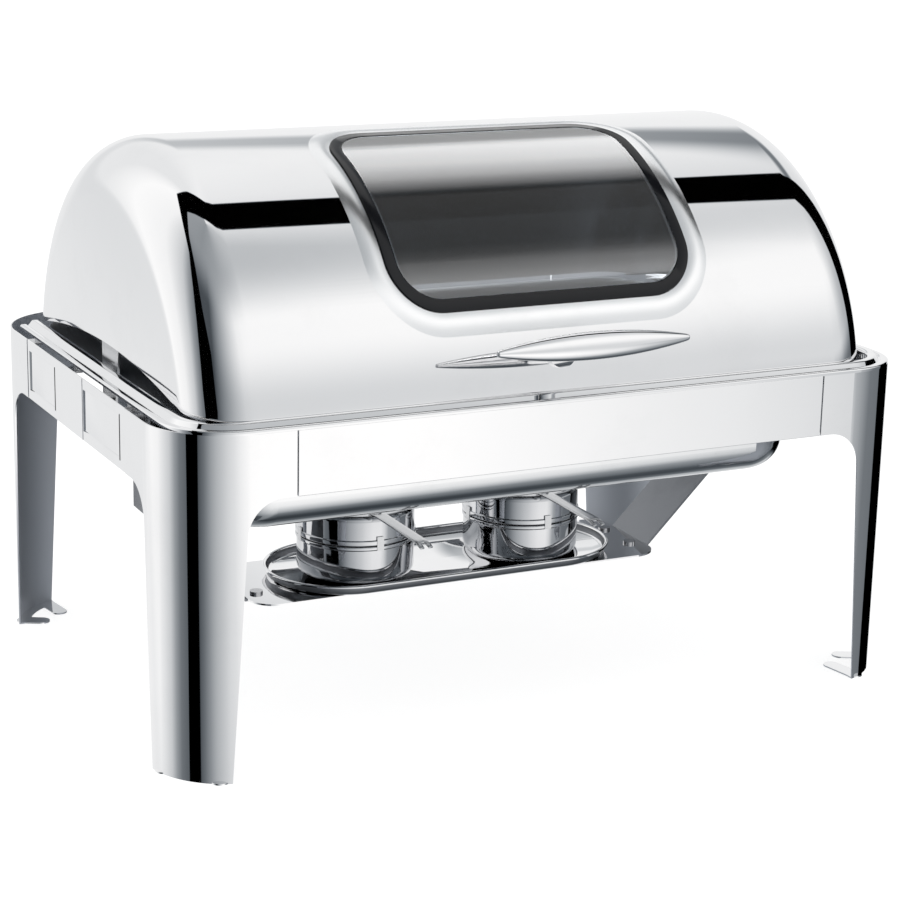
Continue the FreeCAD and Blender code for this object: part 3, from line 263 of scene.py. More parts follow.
def make_inner_side_group():
    """One on the faces of the frame's sheet that look in under the chafer, nought on the outside."""
    group, _, result = new_group("inner_side", {}, ("Mask",))
    place = add_node(group, "ShaderNodeTexCoord").outputs["Object"]
    centred = add_node(group, "ShaderNodeVectorMath", {0: place, 1: (0.0, pivot.y, 0.0)},
                       operation="SUBTRACT").outputs[0]
    side = add_node(group, "ShaderNodeVectorMath", {0: centred}, operation="SIGN").outputs[0]
    away = add_node(group, "ShaderNodeVectorMath", {0: centred}, operation="ABSOLUTE").outputs[0]
    away = add_node(group, "ShaderNodeVectorMath", {0: away, 1: (0.255, 0.1625, 1.0)},
                    operation="SUBTRACT").outputs[0]
    facing = add_node(group, "ShaderNodeNewGeometry").outputs["Normal"]
    facing = add_node(group, "ShaderNodeVectorMath", {0: facing, 1: side}, operation="MULTIPLY").outputs[0]
    facing = add_node(group, "ShaderNodeVectorMath", {0: facing, 1: (1.0, 1.0, 0.0)},
                      operation="MULTIPLY").outputs[0]
    inward = add_node(group, "ShaderNodeVectorMath", {0: facing, 1: away}, operation="DOT_PRODUCT")
    group.links.new(remap(group, inward.outputs["Value"], -0.002, -0.008), result["Mask"])
    return group


joint_places = {joint["name"]: Vector(joint["pos_m"]) for joint in frame["joints"]}
pivot = joint_places["lid_roll"]
handling = make_handling_group()
sheet_waves = make_waves_group()
inner_side = make_inner_side_group()


def steel(name, colour, roughness, smears, hairlines, wave_height, satin_and_shade=None, satin_and_shade_side=None):
    """Stainless steel with handling marks and waves; the last two arguments give a (colour, roughness) for
    faces where their mask is one: a satin roughness, and a darker colour that is painted shade.
    """
    made = bpy.data.materials.new(name)
    made.use_nodes = True
    tree = made.node_tree
    surface = tree.nodes["Principled BSDF"]
    surface.inputs["Metallic"].default_value = 1.0
    marks = add_node(tree, "ShaderNodeGroup", node_tree=handling)
    marks.inputs["Base"].default_value = roughness
    marks.inputs["Smears"].default_value = smears
    marks.inputs["Hairlines"].default_value = hairlines
    waves = add_node(tree, "ShaderNodeGroup", node_tree=sheet_waves)
    slow = add_node(tree, "ShaderNodeBump", {"Height": waves.outputs[0], "Distance": wave_height})
    fine = add_node(tree, "ShaderNodeBump", {"Height": marks.outputs["Height"], "Distance": 0.000002,
                                             "Normal": slow.outputs[0]})
    tarnish = remap(tree, marks.outputs["Roughness"], roughness, roughness + 0.1)
    tint = add_node(tree, "ShaderNodeMix", {0: tarnish, 6: (*colour, 1.0),
                                            7: (*(share * 0.93 for share in colour), 1.0)},
                    data_type="RGBA").outputs[2]
    rough = marks.outputs["Roughness"]
    # where the mask is one: satin roughness, and a darker colour that is painted shade
    if satin_and_shade_side:
        mask = add_node(tree, "ShaderNodeGroup", node_tree=satin_and_shade_side).outputs[0]
        tint = add_node(tree, "ShaderNodeMix", {0: mask, 6: tint, 7: (*satin_and_shade[0], 1.0)},
                        data_type="RGBA").outputs[2]
        rough = blend_values(tree, mask, rough, satin_and_shade[1])
    tree.links.new(tint, surface.inputs["Base Color"])
    tree.links.new(rough, surface.inputs["Roughness"])
    tree.links.new(fine.outputs[0], surface.inputs["Normal"])
    return made


def finish_nodes(material, *names):
    """Give CAD nodes their material."""
    for name in names:
        data = frame["nodes"][name].data
        data.materials.clear()
        data.materials.append(material)


def add_piece(mesh, name, materials, body, stands_for, crease=30.0, modifiers=()):
    """Make a bmesh an object, apply its modifiers, smooth it and hang it on its body."""
    data = bpy.data.meshes.new(name)
    mesh.to_mesh(data)
    mesh.free()
    for material in materials:
        data.materials.append(material)
    item = bpy.data.objects.new(name, data)
    bpy.context.scene.collection.objects.link(item)
    for kind, settings in modifiers:
        made = item.modifiers.new(kind.lower(), kind)
        for setting, value in settings.items():
            setattr(made, setting, value)
    if modifiers:
        bpy.context.view_layer.update()
        seen_with = item.evaluated_get(bpy.context.evaluated_depsgraph_get())
        item.data = bpy.data.meshes.new_from_object(seen_with)
        item.data.name = name
        item.modifiers.clear()
    item.data.shade_smooth()
    item.data.set_sharp_from_angle(angle=math.radians(crease))
    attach(item, body)
    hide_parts(*stands_for)


def block(mesh, low, high, edge):
    """Box between two corners, with rounded edges."""
    low, high = Vector(low), Vector(high)
    size = high - low
    made = bmesh.ops.create_cube(mesh, size=1.0)["verts"]
    bmesh.ops.scale(mesh, vec=size, verts=made)
    bmesh.ops.translate(mesh, vec=(low + high) / 2, verts=made)
    edges = list({line for corner in made for line in corner.link_edges})
    bmesh.ops.bevel(mesh, geom=edges, offset=edge, segments=2, affect="EDGES", profile=0.5, material=-1)


# inner faces: satin roughness, and a darker, cooler colour that is painted shade
outside_steel = steel("frame_steel", (0.90, 0.90, 0.905), 0.025, 0.03, 0.2, 0.00025,
                      satin_and_shade=((0.58, 0.605, 0.65), 0.6), satin_and_shade_side=inner_side)
finish_nodes(outside_steel, "leg_front_left", "leg_front_right", "leg_rear_left", "leg_rear_right")

seam_gap, soft_edge = 0.0010, 0.0003
leg_inner_face = 0.226
front_face, side_face = 0.2275, 0.320
frame_sheet, frame_hem = 0.0012, 0.008
apron_low, apron_high = 0.215, 0.264
for place, name in ((-1, "apron_front"), (1, "apron_rear")):
    mesh = bmesh.new()
    reach = leg_inner_face - seam_gap
    near, far = sorted((place * front_face, place * (front_face - frame_sheet)))
    block(mesh, (-reach, near + pivot.y, apron_low), (reach, far + pivot.y, apron_high), soft_edge)
    near, far = sorted((place * (front_face - frame_sheet), place * (front_face - frame_hem)))
    block(mesh, (-reach, near + pivot.y, apron_low), (reach, far + pivot.y, apron_low + frame_sheet),
          soft_edge)
    add_piece(mesh, name + "_panel", [outside_steel], "root", [name], crease=15.0)


side_half_length = 0.124
field_ends = ((-0.112, -0.024), (0.048, 0.118))
field_border, plate_low, plate_high, plate_proud = 0.0065, -0.022, 0.0465, 0.0004


def make_side_apron(side, name):
    """Apron with two pressed fields, and between them a plain plate over the pivot's bracket."""
    mesh = bmesh.new()
    reach = side_half_length - seam_gap
    ground = side_face - plate_proud
    made = bmesh.ops.create_grid(mesh, x_segments=1, y_segments=1, size=1.0)["verts"]
    bmesh.ops.scale(mesh, vec=(reach, (apron_high - apron_low) / 2, 1.0), verts=made)
    for cut in (*field_ends[0], *field_ends[1]):
        geometry = mesh.verts[:] + mesh.edges[:] + mesh.faces[:]
        bmesh.ops.bisect_plane(mesh, geom=geometry, plane_co=(cut, 0, 0), plane_no=(1, 0, 0))
    half_height = (apron_high - apron_low) / 2
    for cut in (field_border - half_height, half_height - field_border):
        geometry = mesh.verts[:] + mesh.edges[:] + mesh.faces[:]
        bmesh.ops.bisect_plane(mesh, geom=geometry, plane_co=(0, cut, 0), plane_no=(0, 1, 0))
    fields = [face for face in mesh.faces if abs(face.calc_center_median().y) < half_height - field_border
              and any(low < face.calc_center_median().x < high for low, high in field_ends)]
    for thickness, depth in ((0.0005, 0.0005), (0.0009, 0.0), (0.0006, -0.0010), (0.0006, -0.0001)):
        bmesh.ops.inset_individual(mesh, faces=fields, thickness=thickness, depth=depth,
                                   use_even_offset=True)
    turn = Matrix(((0, 0, 1, 0), (1, 0, 0, 0), (0, 1, 0, 0), (0, 0, 0, 1)))
    bmesh.ops.transform(mesh, matrix=turn, verts=mesh.verts)
    bmesh.ops.translate(mesh, vec=(ground, 0, (apron_high + apron_low) / 2), verts=mesh.verts)
    bmesh.ops.solidify(mesh, geom=mesh.faces[:], thickness=frame_sheet)
    block(mesh, (ground - plate_proud, plate_low, apron_low), (side_face, plate_high, apron_high),
          plate_proud)
    block(mesh, (side_face - frame_hem, -reach, apron_low),
          (side_face - frame_sheet * 1.8, reach, apron_low + frame_sheet), soft_edge)
    if side < 0:
        bmesh.ops.scale(mesh, vec=(-1, 1, 1), verts=mesh.verts)
        bmesh.ops.reverse_faces(mesh, faces=mesh.faces)
    bmesh.ops.translate(mesh, vec=(0, pivot.y, 0), verts=mesh.verts)
    bmesh.ops.recalc_face_normals(mesh, faces=mesh.faces)
    add_piece(mesh, name + "_panel", [outside_steel], "root", [name], crease=15.0)


make_side_apron(-1, "apron_left")
make_side_apron(1, "apron_right")


# ---- Rim
# Rolled stainless channel round the front and both sides, with a low bead outside and a high one
# inside. Its arms end in open cuts at the back.


def rounded(points, steps=6):
    """Outline through (across, up, corner radius) points, with each rounded corner drawn as an arc."""
    outline = []
    for index, (across, up, radius) in enumerate(points):
        corner = Vector((across, up))
        if not radius:
            outline.append(corner)
            continue
        before = (Vector(points[index - 1][:2]) - corner).normalized()
        after = (Vector(points[(index + 1) % len(points)][:2]) - corner).normalized()
        half = before.angle(after) / 2
        middle = corner + (before + after).normalized() * radius / math.sin(half)
        start = corner + before * radius / math.tan(half) - middle
        end = corner + after * radius / math.tan(half) - middle
        turn = start.angle_signed(end)
        outline += [middle + Matrix.Rotation(-turn * step / steps, 2) @ start for step in range(steps + 1)]
    return outline


mirror_steel = steel("mirror_steel", (0.90, 0.90, 0.905), 0.025, 0.03, 0.2, 0.00012)
low_bead, high_bead = 0.0031, 0.0060
rim_section = rounded([(0.0, 0.0, 0.0), (0.0, low_bead, 0.0016), (0.0050, low_bead, 0.0010),
                       (0.0066, 0.0014, 0.0010), (0.0105, high_bead, 0.0025), (0.0170, high_bead, 0.0032),
                       (0.0170, -0.0030, 0.0)])
rim_outer, rim_front, rim_corner, rim_end = 0.3125, 0.2273, 0.052, 0.168
mesh = bmesh.new()
corners = [mesh.verts.new((-rim_outer + reach, rim_end, apron_high + rise)) for reach, rise in rim_section]
strip = [mesh.edges.new(pair) for pair in zip(corners, corners[1:])]


def carry_on(mesh, strip, step):
    """Extrude a strip of edges by a step, and return the new strip."""
    made = bmesh.ops.extrude_edge_only(mesh, edges=strip)["geom"]
    moved = [part for part in made if isinstance(part, bmesh.types.BMVert)]
    bmesh.ops.translate(mesh, vec=step, verts=moved)
    return [part for part in made if isinstance(part, bmesh.types.BMEdge)
            and all(corner in moved for corner in part.verts)]


def turn_round(mesh, strip, centre, angle, steps=20):
    """Spin a strip of edges round an upright axis, and return the last strip."""
    geometry = strip + list({corner for line in strip for corner in line.verts})
    made = bmesh.ops.spin(mesh, geom=geometry, cent=centre, axis=(0, 0, 1), angle=angle, steps=steps,
                          use_merge=False)["geom_last"]
    return [part for part in made if isinstance(part, bmesh.types.BMEdge)]


corner_y = rim_corner - rim_front
strip = carry_on(mesh, strip, (0, corner_y - rim_end, 0))
strip = turn_round(mesh, strip, (rim_corner - rim_outer, corner_y, 0), math.pi / 2)
strip = carry_on(mesh, strip, (2 * (rim_outer - rim_corner), 0, 0))
strip = turn_round(mesh, strip, (rim_outer - rim_corner, corner_y, 0), math.pi / 2)
strip = carry_on(mesh, strip, (0, rim_end - corner_y, 0))
bmesh.ops.remove_doubles(mesh, verts=mesh.verts, dist=0.00001)
bmesh.ops.recalc_face_normals(mesh, faces=mesh.faces)
if sum(face.normal.z * face.calc_area() for face in mesh.faces) < 0:
    bmesh.ops.reverse_faces(mesh, faces=mesh.faces)
bmesh.ops.translate(mesh, vec=(0, pivot.y, 0), verts=mesh.verts)
add_piece(mesh, "rim", [mirror_steel], "root", ["rim_trim"], crease=40.0,
          modifiers=[("SOLIDIFY", dict(thickness=0.0009, offset=-1.0))])


# ---- Lid
# Pressed stainless shell that rolls back on two pivots: round roof, flat ends with a wide radius
# and an arch over the pan's supports. It is polished outside and left satin inside.

inside_steel = steel("lid_inside", (0.50, 0.52, 0.55), 0.42, 0.06, 0.0, 0.00005)
lid_radius, lid_half, lid_end_radius = 0.2116, 0.2925, 0.045
lid_rise, arch_rise, arch_half_span = 0.034, 0.018, 0.178
lid_sheet = 0.001
window_tilt = math.radians(55.2)
window_half_x = 0.130
window_half_y = lid_radius * math.sin(math.radians(27.5))
window_corner, window_border = 0.040, 0.009


def to_lid(mesh):
    """Move what was made round the pivot axis to where the lid is."""
    bmesh.ops.translate(mesh, vec=pivot, verts=mesh.verts)


def make_cutter(name, mesh):
    """Object that only cuts the lid, and is removed after it."""
    data = bpy.data.meshes.new(name)
    mesh.to_mesh(data)
    mesh.free()
    item = bpy.data.objects.new(name, data)
    bpy.context.scene.collection.objects.link(item)
    return item


mesh = bmesh.new()
section = rounded([(-lid_half, 0.004, 0.0), (-lid_half, lid_radius, lid_end_radius),
                   (lid_half, lid_radius, lid_end_radius), (lid_half, 0.004, 0.0)], steps=14)
corners = [mesh.verts.new((x, -r, 0)) for x, r in section]
strip = [mesh.edges.new(pair) for pair in zip(corners, corners[1:])]
bmesh.ops.spin(mesh, geom=corners + strip, cent=(0, 0, 0), axis=(1, 0, 0), angle=-math.pi, steps=180,
               use_merge=False)
bmesh.ops.bisect_plane(mesh, geom=mesh.verts[:] + mesh.edges[:] + mesh.faces[:], plane_co=(0, 0, lid_rise),
                       plane_no=(0, 0, 1), clear_inner=True)
bmesh.ops.recalc_face_normals(mesh, faces=mesh.faces)
top = max(mesh.faces, key=lambda face: face.calc_center_median().z)
if top.normal.z < 0:
    bmesh.ops.reverse_faces(mesh, faces=mesh.faces)
to_lid(mesh)

arch_radius = (arch_half_span ** 2 + arch_rise ** 2) / (2 * arch_rise)
cutter = bmesh.new()
bmesh.ops.create_cone(cutter, cap_ends=True, segments=720, radius1=arch_radius, radius2=arch_radius,
                      depth=0.7, matrix=Matrix.Rotation(math.pi / 2, 4, "Y"))
bmesh.ops.translate(cutter, vec=(0, 0, lid_rise + arch_rise - arch_radius), verts=cutter.verts)
to_lid(cutter)
arch_cutter = make_cutter("arch_cutter", cutter)

window_turn = Matrix.Rotation(math.pi / 2 - window_tilt, 4, "X")


def window_prism(low, high):
    """Prism with the outline of the window's opening, standing on the window's own direction."""
    step = -window_border
    made = bmesh.new()
    bmesh.ops.create_cube(made, size=1.0)
    bmesh.ops.scale(made, vec=(2 * (window_half_x + step), 2 * (window_half_y + step), high - low),
                    verts=made.verts)
    upright = [line for line in made.edges
               if abs(line.verts[0].co.z - line.verts[1].co.z) > 0.5 * (high - low)]
    bmesh.ops.bevel(made, geom=upright, offset=window_corner + step, segments=16, affect="EDGES",
                    profile=0.5, material=-1)
    bmesh.ops.translate(made, vec=(0, 0, (high + low) / 2), verts=made.verts)
    bmesh.ops.transform(made, matrix=window_turn, verts=made.verts)
    to_lid(made)
    return made


window_cutter = make_cutter("window_cutter", window_prism(0.05, 0.30))
add_piece(mesh, "lid_pressing", [mirror_steel, inside_steel], "lid", ["lid_shell"],
          crease=35.0,
          modifiers=[("SOLIDIFY", dict(thickness=lid_sheet, offset=-1.0, material_offset=1,
                                       material_offset_rim=0)),
                     ("BOOLEAN", dict(operation="DIFFERENCE", object=arch_cutter)),
                     ("BOOLEAN", dict(operation="DIFFERENCE", object=window_cutter))])
for item in (arch_cutter, window_cutter):
    bpy.data.objects.remove(item)


# ---- Window
# Curved tempered glass with a printed black border, in a raised seat that is pressed and polished
# with the lid, and a steel frame clamped to it from inside.

def outline_face(mesh, half_x, half_y, corner, segments=14):
    """One flat face with rounded corners, centred on the origin."""
    made = bmesh.ops.create_grid(mesh, x_segments=1, y_segments=1, size=1.0)["verts"]
    bmesh.ops.scale(mesh, vec=(half_x, half_y, 1.0), verts=made)
    bmesh.ops.bevel(mesh, geom=made, offset=corner, segments=segments, affect="VERTICES", profile=0.5,
                    material=-1)
    mesh.faces.ensure_lookup_table()
    return mesh.faces[0]


def step_in(mesh, face, steps):
    """Inset the face again and again, raising it each time, for a ring with that section."""
    for inset, rise in steps:
        bmesh.ops.inset_region(mesh, faces=[face], thickness=inset, depth=rise, use_even_offset=True,
                               use_boundary=True)


def wrap_on_lid(mesh):
    """Bend a flat outline onto the lid: height above the plane becomes height above the roof."""
    for corner in mesh.verts:
        radius = lid_radius + corner.co.z
        corner.co.z = math.sqrt(radius ** 2 - corner.co.y ** 2)
    bmesh.ops.transform(mesh, matrix=window_turn, verts=mesh.verts)
    to_lid(mesh)


def window_ring(name, outer, start, steps, material, stands_for, crease=30.0, modifiers=()):
    mesh = bmesh.new()
    face = outline_face(mesh, window_half_x + outer, window_half_y + outer, window_corner + outer)
    upright = [line for line in mesh.edges if abs(line.verts[0].co.y - line.verts[1].co.y) > 0.05]
    bmesh.ops.bisect_edges(mesh, edges=upright, cuts=40)
    bmesh.ops.translate(mesh, vec=(0, 0, start), verts=mesh.verts)
    step_in(mesh, face, steps)
    bmesh.ops.delete(mesh, geom=[face], context="FACES_ONLY")
    wrap_on_lid(mesh)
    add_piece(mesh, name, [material], "lid", stands_for, crease=crease, modifiers=modifiers)


seat_width, seat_height, seat_rounds = 0.0165, 0.0014, 16
seat_rise = [seat_height * math.sin(math.pi * step / seat_rounds) for step in range(seat_rounds + 1)]
seat_steps = [(seat_width / seat_rounds, high - low) for low, high in zip(seat_rise, seat_rise[1:])]
seat_steel = steel("seat_steel", (0.96, 0.965, 0.97), 0.22, 0.04, 0.0, 0.0)
window_ring("window_seat", seat_width, 0.00002, seat_steps, seat_steel, ["window_surround"],
            crease=60.0, modifiers=[("SOLIDIFY", dict(thickness=0.0006, offset=-1.0))])
border_black = bpy.data.materials.new("border_black")
border_black.use_nodes = True
surface = border_black.node_tree.nodes["Principled BSDF"]
surface.inputs["Base Color"].default_value = (0.006, 0.0065, 0.008, 1.0)
surface.inputs["Specular IOR Level"].default_value = 0.3
marks = add_node(border_black.node_tree, "ShaderNodeGroup", node_tree=handling)
marks.inputs["Base"].default_value = 0.12
marks.inputs["Smears"].default_value = 0.12
border_black.node_tree.links.new(marks.outputs["Roughness"], surface.inputs["Roughness"])
window_ring("window_black_border", 0.0003, 0.0009, [(0.0004, 0.0003), (0.0080, 0.0001), (0.0006, -0.0003)],
            border_black, ["window_gasket"],
            modifiers=[("SOLIDIFY", dict(thickness=0.0006, offset=-1.0))])

glass = bpy.data.materials.new("clear_glass")
glass.use_nodes = True
surface = glass.node_tree.nodes["Principled BSDF"]
surface.inputs["Transmission Weight"].default_value = 1.0
surface.inputs["IOR"].default_value = 1.5
surface.inputs["Roughness"].default_value = 0.0
marks = add_node(glass.node_tree, "ShaderNodeGroup", node_tree=handling)
clean, wiped = (0.91, 0.96, 1.0), (0.88, 0.93, 0.97)
smear = ramp(glass.node_tree, marks.outputs["Roughness"], [(0.04, clean), (0.10, wiped)])
glass.node_tree.links.new(smear, surface.inputs["Base Color"])
mesh = bmesh.new()
outline_face(mesh, window_half_x - window_border, window_half_y - window_border,
             window_corner - window_border)
levels = 44
for level in range(1, levels):
    height = (2 * level / levels - 1) * (window_half_y - window_border)
    bmesh.ops.bisect_plane(mesh, geom=mesh.verts[:] + mesh.edges[:] + mesh.faces[:],
                           plane_co=(0, height, 0), plane_no=(0, 1, 0))
bmesh.ops.translate(mesh, vec=(0, 0, 0.0009), verts=mesh.verts)
wrap_on_lid(mesh)
add_piece(mesh, "window_pane", [glass], "lid", ["window_glass"],
          modifiers=[("SOLIDIFY", dict(thickness=0.0038, offset=-1.0))])
window_ring("window_clamp", -0.0045, -0.0012, [(0.0004, 0.0), (0.0056, 0.0), (0.0004, -0.0006)],
            inside_steel, ["window_retainer"],
            modifiers=[("SOLIDIFY", dict(thickness=0.0012, offset=-1.0))])


# ---- Handle
# Leaf-shaped cast steel bar, polished, full in the middle and drawn down to blunt tips, on one round
# post that is bolted through the lid.

finish_nodes(mirror_steel, "handle_post")
handle_tilt = math.radians(17.5)
handle_stand, handle_half = 0.266, 0.081
handle_belly, handle_tip = 0.0105, 0.0025
handle_depth, handle_tip_depth = 0.006, 0.0026
handle_turn = Matrix.Rotation(math.pi / 2 - handle_tilt, 4, "X")
bow = handle_belly - handle_tip
bow_radius = (handle_half ** 2 + bow ** 2) / (2 * bow)
mesh = bmesh.new()
bmesh.ops.create_cone(mesh, cap_ends=True, segments=40, radius1=1.0, radius2=1.0, depth=2 * handle_half,
                      matrix=Matrix.Rotation(math.pi / 2, 4, "Y"))
stations = 60
for station in range(1, stations):
    place = (2 * station / stations - 1) * handle_half
    bmesh.ops.bisect_plane(mesh, geom=mesh.verts[:] + mesh.edges[:] + mesh.faces[:],
                           plane_co=(place, 0, 0), plane_no=(1, 0, 0))
for corner in mesh.verts:
    x = corner.co.x
    height = handle_belly - bow_radius + math.sqrt(bow_radius ** 2 - x ** 2)
    fullness = (height - handle_tip) / bow
    depth = handle_tip_depth + (handle_depth - handle_tip_depth) * fullness
    corner.co.y *= height
    corner.co.z *= depth
ends = [face for face in mesh.faces if abs(face.normal.x) > 0.9 and len(face.verts) > 20]
end_lines = list({line for face in ends for line in face.edges})
bmesh.ops.bevel(mesh, geom=end_lines, offset=0.0012, segments=4, affect="EDGES", profile=0.5, material=-1)
bmesh.ops.translate(mesh, vec=(0, 0, handle_stand), verts=mesh.verts)
bmesh.ops.transform(mesh, matrix=handle_turn, verts=mesh.verts)
to_lid(mesh)
add_piece(mesh, "handle_leaf", [mirror_steel], "lid", ["handle_bar"], crease=50.0)


# ---- Fuel shelf
# Stainless plate hung from the pivot brackets on two bent straps. A deep-drawn oval tray with a
# rolled rim stands on it and keeps the two fuel holders in place.

# steel far darker than real stainless: painted shade for the hanger straps, the front rail, the seam
# splices and the tray's inner walls
painted_shade_steel = steel("painted_shade_steel", (0.30, 0.31, 0.33), 0.38, 0.08, 0.8, 0.0003)
finish_nodes(mirror_steel, "fuel_shelf")
shelf_top = 0.0715
tray_half_x, tray_half_y = 0.157, 0.066
mesh = bmesh.new()
face = outline_face(mesh, tray_half_x, tray_half_y, tray_half_y - 0.00005, segments=40)
tray_bead, tray_rounds = 0.0017, 8
turns = [math.pi * (1 - step / tray_rounds) for step in range(tray_rounds + 1)]
bead = [(tray_bead * math.cos(turn), tray_bead * math.sin(turn)) for turn in turns]
bead_steps = [(after[0] - before[0], after[1] - before[1]) for before, after in zip(bead, bead[1:])]
bmesh.ops.translate(mesh, vec=(0, pivot.y, shelf_top + 0.0074), verts=mesh.verts)
step_in(mesh, face, bead_steps + [(0.0008, -0.0052), (0.0016, -0.0012)])
bmesh.ops.remove_doubles(mesh, verts=mesh.verts, dist=0.000005)
# the tray's inner walls take the dark steel, as painted shade inside the tray
for part in mesh.faces:
    part.material_index = int(abs(part.normal.z) < 0.3 and part.calc_center_median().z < shelf_top + 0.007)
add_piece(mesh, "oval_tray", [mirror_steel, painted_shade_steel], "root", ["fuel_tray"], crease=50.0,
          modifiers=[("SOLIDIFY", dict(thickness=0.0007, offset=-1.0))])


# ---- Fuel holders
# Spun stainless cup with a beaded top, a cover that drops onto it, a damper that swings on one
# rivet, and two bent clips that keep cup and cover together.

cup_base, cup_wall, cup_bead, cup_top = 0.0727, 0.0494, 0.0505, 0.1073
cover_base, cover_wall, cover_top, cover_hole = 0.1082, 0.0495, 0.1327, 0.0308
cup_section = rounded([(0.0, cup_base, 0.0), (cup_wall, cup_base, 0.008), (cup_wall, 0.1037, 0.0002),
                       (cup_bead, 0.1046, 0.0008), (cup_bead, cup_top, 0.0010), (0.0484, cup_top, 0.0004),
                       (0.0484, cup_base + 0.001, 0.007), (0.0, cup_base + 0.001, 0.0)])
cover_section = rounded([(0.0486, cover_base, 0.0), (cup_bead, cover_base, 0.0009),
                         (cup_bead, 0.1120, 0.0009), (cover_wall, 0.1128, 0.0003),
                         (cover_wall, cover_top, 0.005),
                         (cover_hole, cover_top, 0.0015), (cover_hole, 0.1296, 0.0), (0.0302, 0.1296, 0.0),
                         (0.0302, 0.1318, 0.0006), (0.0486, 0.1318, 0.0045)])


def spun(name, section, centre, stands_for, material):
    """Turned piece: a section of radius and height spun round an upright axis."""
    mesh = bmesh.new()
    corners = [mesh.verts.new((radius, 0, height)) for radius, height in section]
    loop = list(zip(corners, corners[1:]))
    if section[0][0]:
        loop.append((corners[-1], corners[0]))
    lines = [mesh.edges.new(pair) for pair in loop]
    bmesh.ops.spin(mesh, geom=corners + lines, cent=(0, 0, 0), axis=(0, 0, 1), angle=2 * math.pi, steps=96,
                   use_merge=True)
    bmesh.ops.remove_doubles(mesh, verts=mesh.verts, dist=0.000005)
    bmesh.ops.recalc_face_normals(mesh, faces=mesh.faces)
    bmesh.ops.translate(mesh, vec=centre, verts=mesh.verts)
    add_piece(mesh, name, [material], "root", stands_for, crease=50.0)


bright_steel = steel("bright_steel", (0.66, 0.665, 0.675), 0.2, 0.08, 0.8, 0.0003)
cup_steel = steel("cup_steel", (0.70, 0.705, 0.72), 0.04, 0.04, 0.4, 0.00015)
damper_low, damper_sheet, damper_radius = 0.1330, 0.0015, 0.033
lever_half_width, lever_reach, lever_lap = 0.0055, 0.137, 0.0004
notch_depth, curl_length, curl = 0.009, 0.014, 12.0
for hand in ("left", "right"):
    centre = Vector((joint_places[f"damper_{hand}_swing"].x, pivot.y, 0))
    spun(f"cup_{hand}", cup_section, centre, [f"fuel_cup_{hand}"], cup_steel)
    spun(f"cover_{hand}", cover_section, centre, [f"fuel_cover_{hand}"], cup_steel)
    mesh = bmesh.new()
    bmesh.ops.create_circle(mesh, cap_ends=True, segments=64, radius=damper_radius)
    bmesh.ops.inset_region(mesh, faces=mesh.faces[:], thickness=0.006, depth=0.0, use_even_offset=True,
                           use_boundary=True)
    bmesh.ops.inset_region(mesh, faces=[max(mesh.faces, key=lambda face: len(face.verts))],
                           thickness=0.0015, depth=0.0008, use_even_offset=True, use_boundary=True)
    lever = bmesh.ops.create_grid(mesh, x_segments=3, y_segments=26, size=1.0)["verts"]
    bmesh.ops.scale(mesh, vec=(lever_half_width, (lever_reach - damper_radius + lever_lap) / 2, 1.0),
                    verts=lever)
    bmesh.ops.translate(mesh, vec=(0, -(lever_reach + damper_radius - lever_lap) / 2, 0.0001), verts=lever)
    notch = [face for face in mesh.faces if face.calc_center_median().y < notch_depth - lever_reach
             and abs(face.calc_center_median().x) < lever_half_width / 3]
    bmesh.ops.delete(mesh, geom=notch, context="FACES")
    for corner in mesh.verts:
        past = max(0.0, -corner.co.y - (lever_reach - curl_length))
        corner.co.z -= curl * past ** 2
    bmesh.ops.translate(mesh, vec=centre + Vector((0, 0, damper_low + damper_sheet)), verts=mesh.verts)
    bmesh.ops.recalc_face_normals(mesh, faces=mesh.faces)
    for face in mesh.faces:
        if face.normal.z < 0:
            face.normal_flip()
    add_piece(mesh, f"swing_damper_{hand}", [bright_steel], f"damper_{hand}",
              [f"damper_{hand}"], modifiers=[("SOLIDIFY", dict(thickness=damper_sheet, offset=-1.0)),
                                             ("BEVEL", dict(width=0.0003, segments=2))])
finish_nodes(bright_steel, "cover_clips_left", "cover_clips_right")
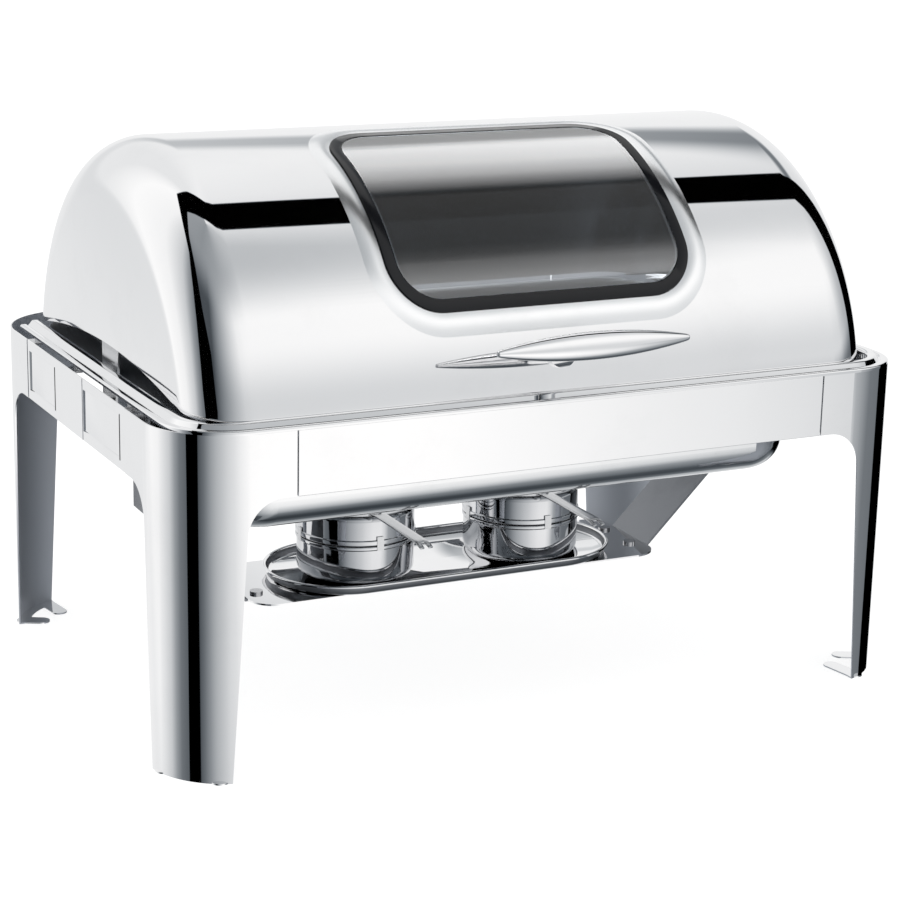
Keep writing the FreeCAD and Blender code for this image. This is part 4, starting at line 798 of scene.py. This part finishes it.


# ---- Pans and supports
# Deep-drawn stainless pans, bright outside and satin where they look up, and the brackets, straps
# and rail that carry them. Where the pans look up, and on the food pan, the steel is also darker as
# painted shade, and the straps, the rail and the seam splices are dark steel as painted shade.
# Silicone pads and nylon spacers keep metal off metal.

def make_upper_side_group():
    """One on faces that look up, nought on the others."""
    group, _, result = new_group("upper_side", {}, ("Mask",))
    facing = add_node(group, "ShaderNodeNewGeometry").outputs["Normal"]
    height = add_node(group, "ShaderNodeSeparateXYZ", {0: facing}).outputs[2]
    group.links.new(remap(group, height, 0.3, 0.6), result["Mask"])
    return group


# faces that look up: satin roughness, and a darker colour that is painted shade
pan_steel = steel("pan_steel", (0.86, 0.865, 0.87), 0.06, 0.05, 0.4, 0.0002,
                  satin_and_shade=((0.42, 0.44, 0.47), 0.45), satin_and_shade_side=make_upper_side_group())
plain_steel = steel("plain_steel", (0.62, 0.62, 0.63), 0.22, 0.05, 0.5, 0.0)
finish_nodes(plain_steel, "pivot_pins", "pivot_nuts", "bracket_rivets", "shelf_rivets", "damper_rivets",
             "handle_bolt")
finish_nodes(pan_steel, "water_pan")
# the food pan takes the lid's darker inside steel, as painted shade on its flange
finish_nodes(inside_steel, "food_pan")
finish_nodes(bright_steel, "rim_tabs", "pivot_bracket_left", "pivot_bracket_right", "hinge_arm_left",
             "hinge_arm_right")
# painted shade: the splices behind the seams, the rail and the straps are made dark
finish_nodes(painted_shade_steel, "seam_splices", "front_rail", "hanger_strap_left", "hanger_strap_right")


def plain(name, colour, roughness, grain):
    """Rubber or plastic with a fine grain."""
    made = bpy.data.materials.new(name)
    made.use_nodes = True
    tree = made.node_tree
    surface = tree.nodes["Principled BSDF"]
    place = add_node(tree, "ShaderNodeTexCoord").outputs["Object"]
    speckle = add_node(tree, "ShaderNodeTexNoise", {"Vector": place, "Scale": grain, "Detail": 3.0})
    shade = ramp(tree, speckle.outputs[0], [(0.3, tuple(part * 0.8 for part in colour)), (0.7, colour)])
    tree.links.new(shade, surface.inputs["Base Color"])
    tree.links.new(remap(tree, speckle.outputs[0], 0.3, 0.7, roughness - 0.06, roughness + 0.06),
                   surface.inputs["Roughness"])
    bump = add_node(tree, "ShaderNodeBump", {"Height": speckle.outputs[0], "Distance": 0.00003})
    tree.links.new(bump.outputs[0], surface.inputs["Normal"])
    return made


finish_nodes(plain("silicone", (0.03, 0.03, 0.032), 0.6, 600.0), "lid_rest_pads")
finish_nodes(plain("nylon", (0.70, 0.69, 0.65), 0.45, 400.0), "pivot_spacers")
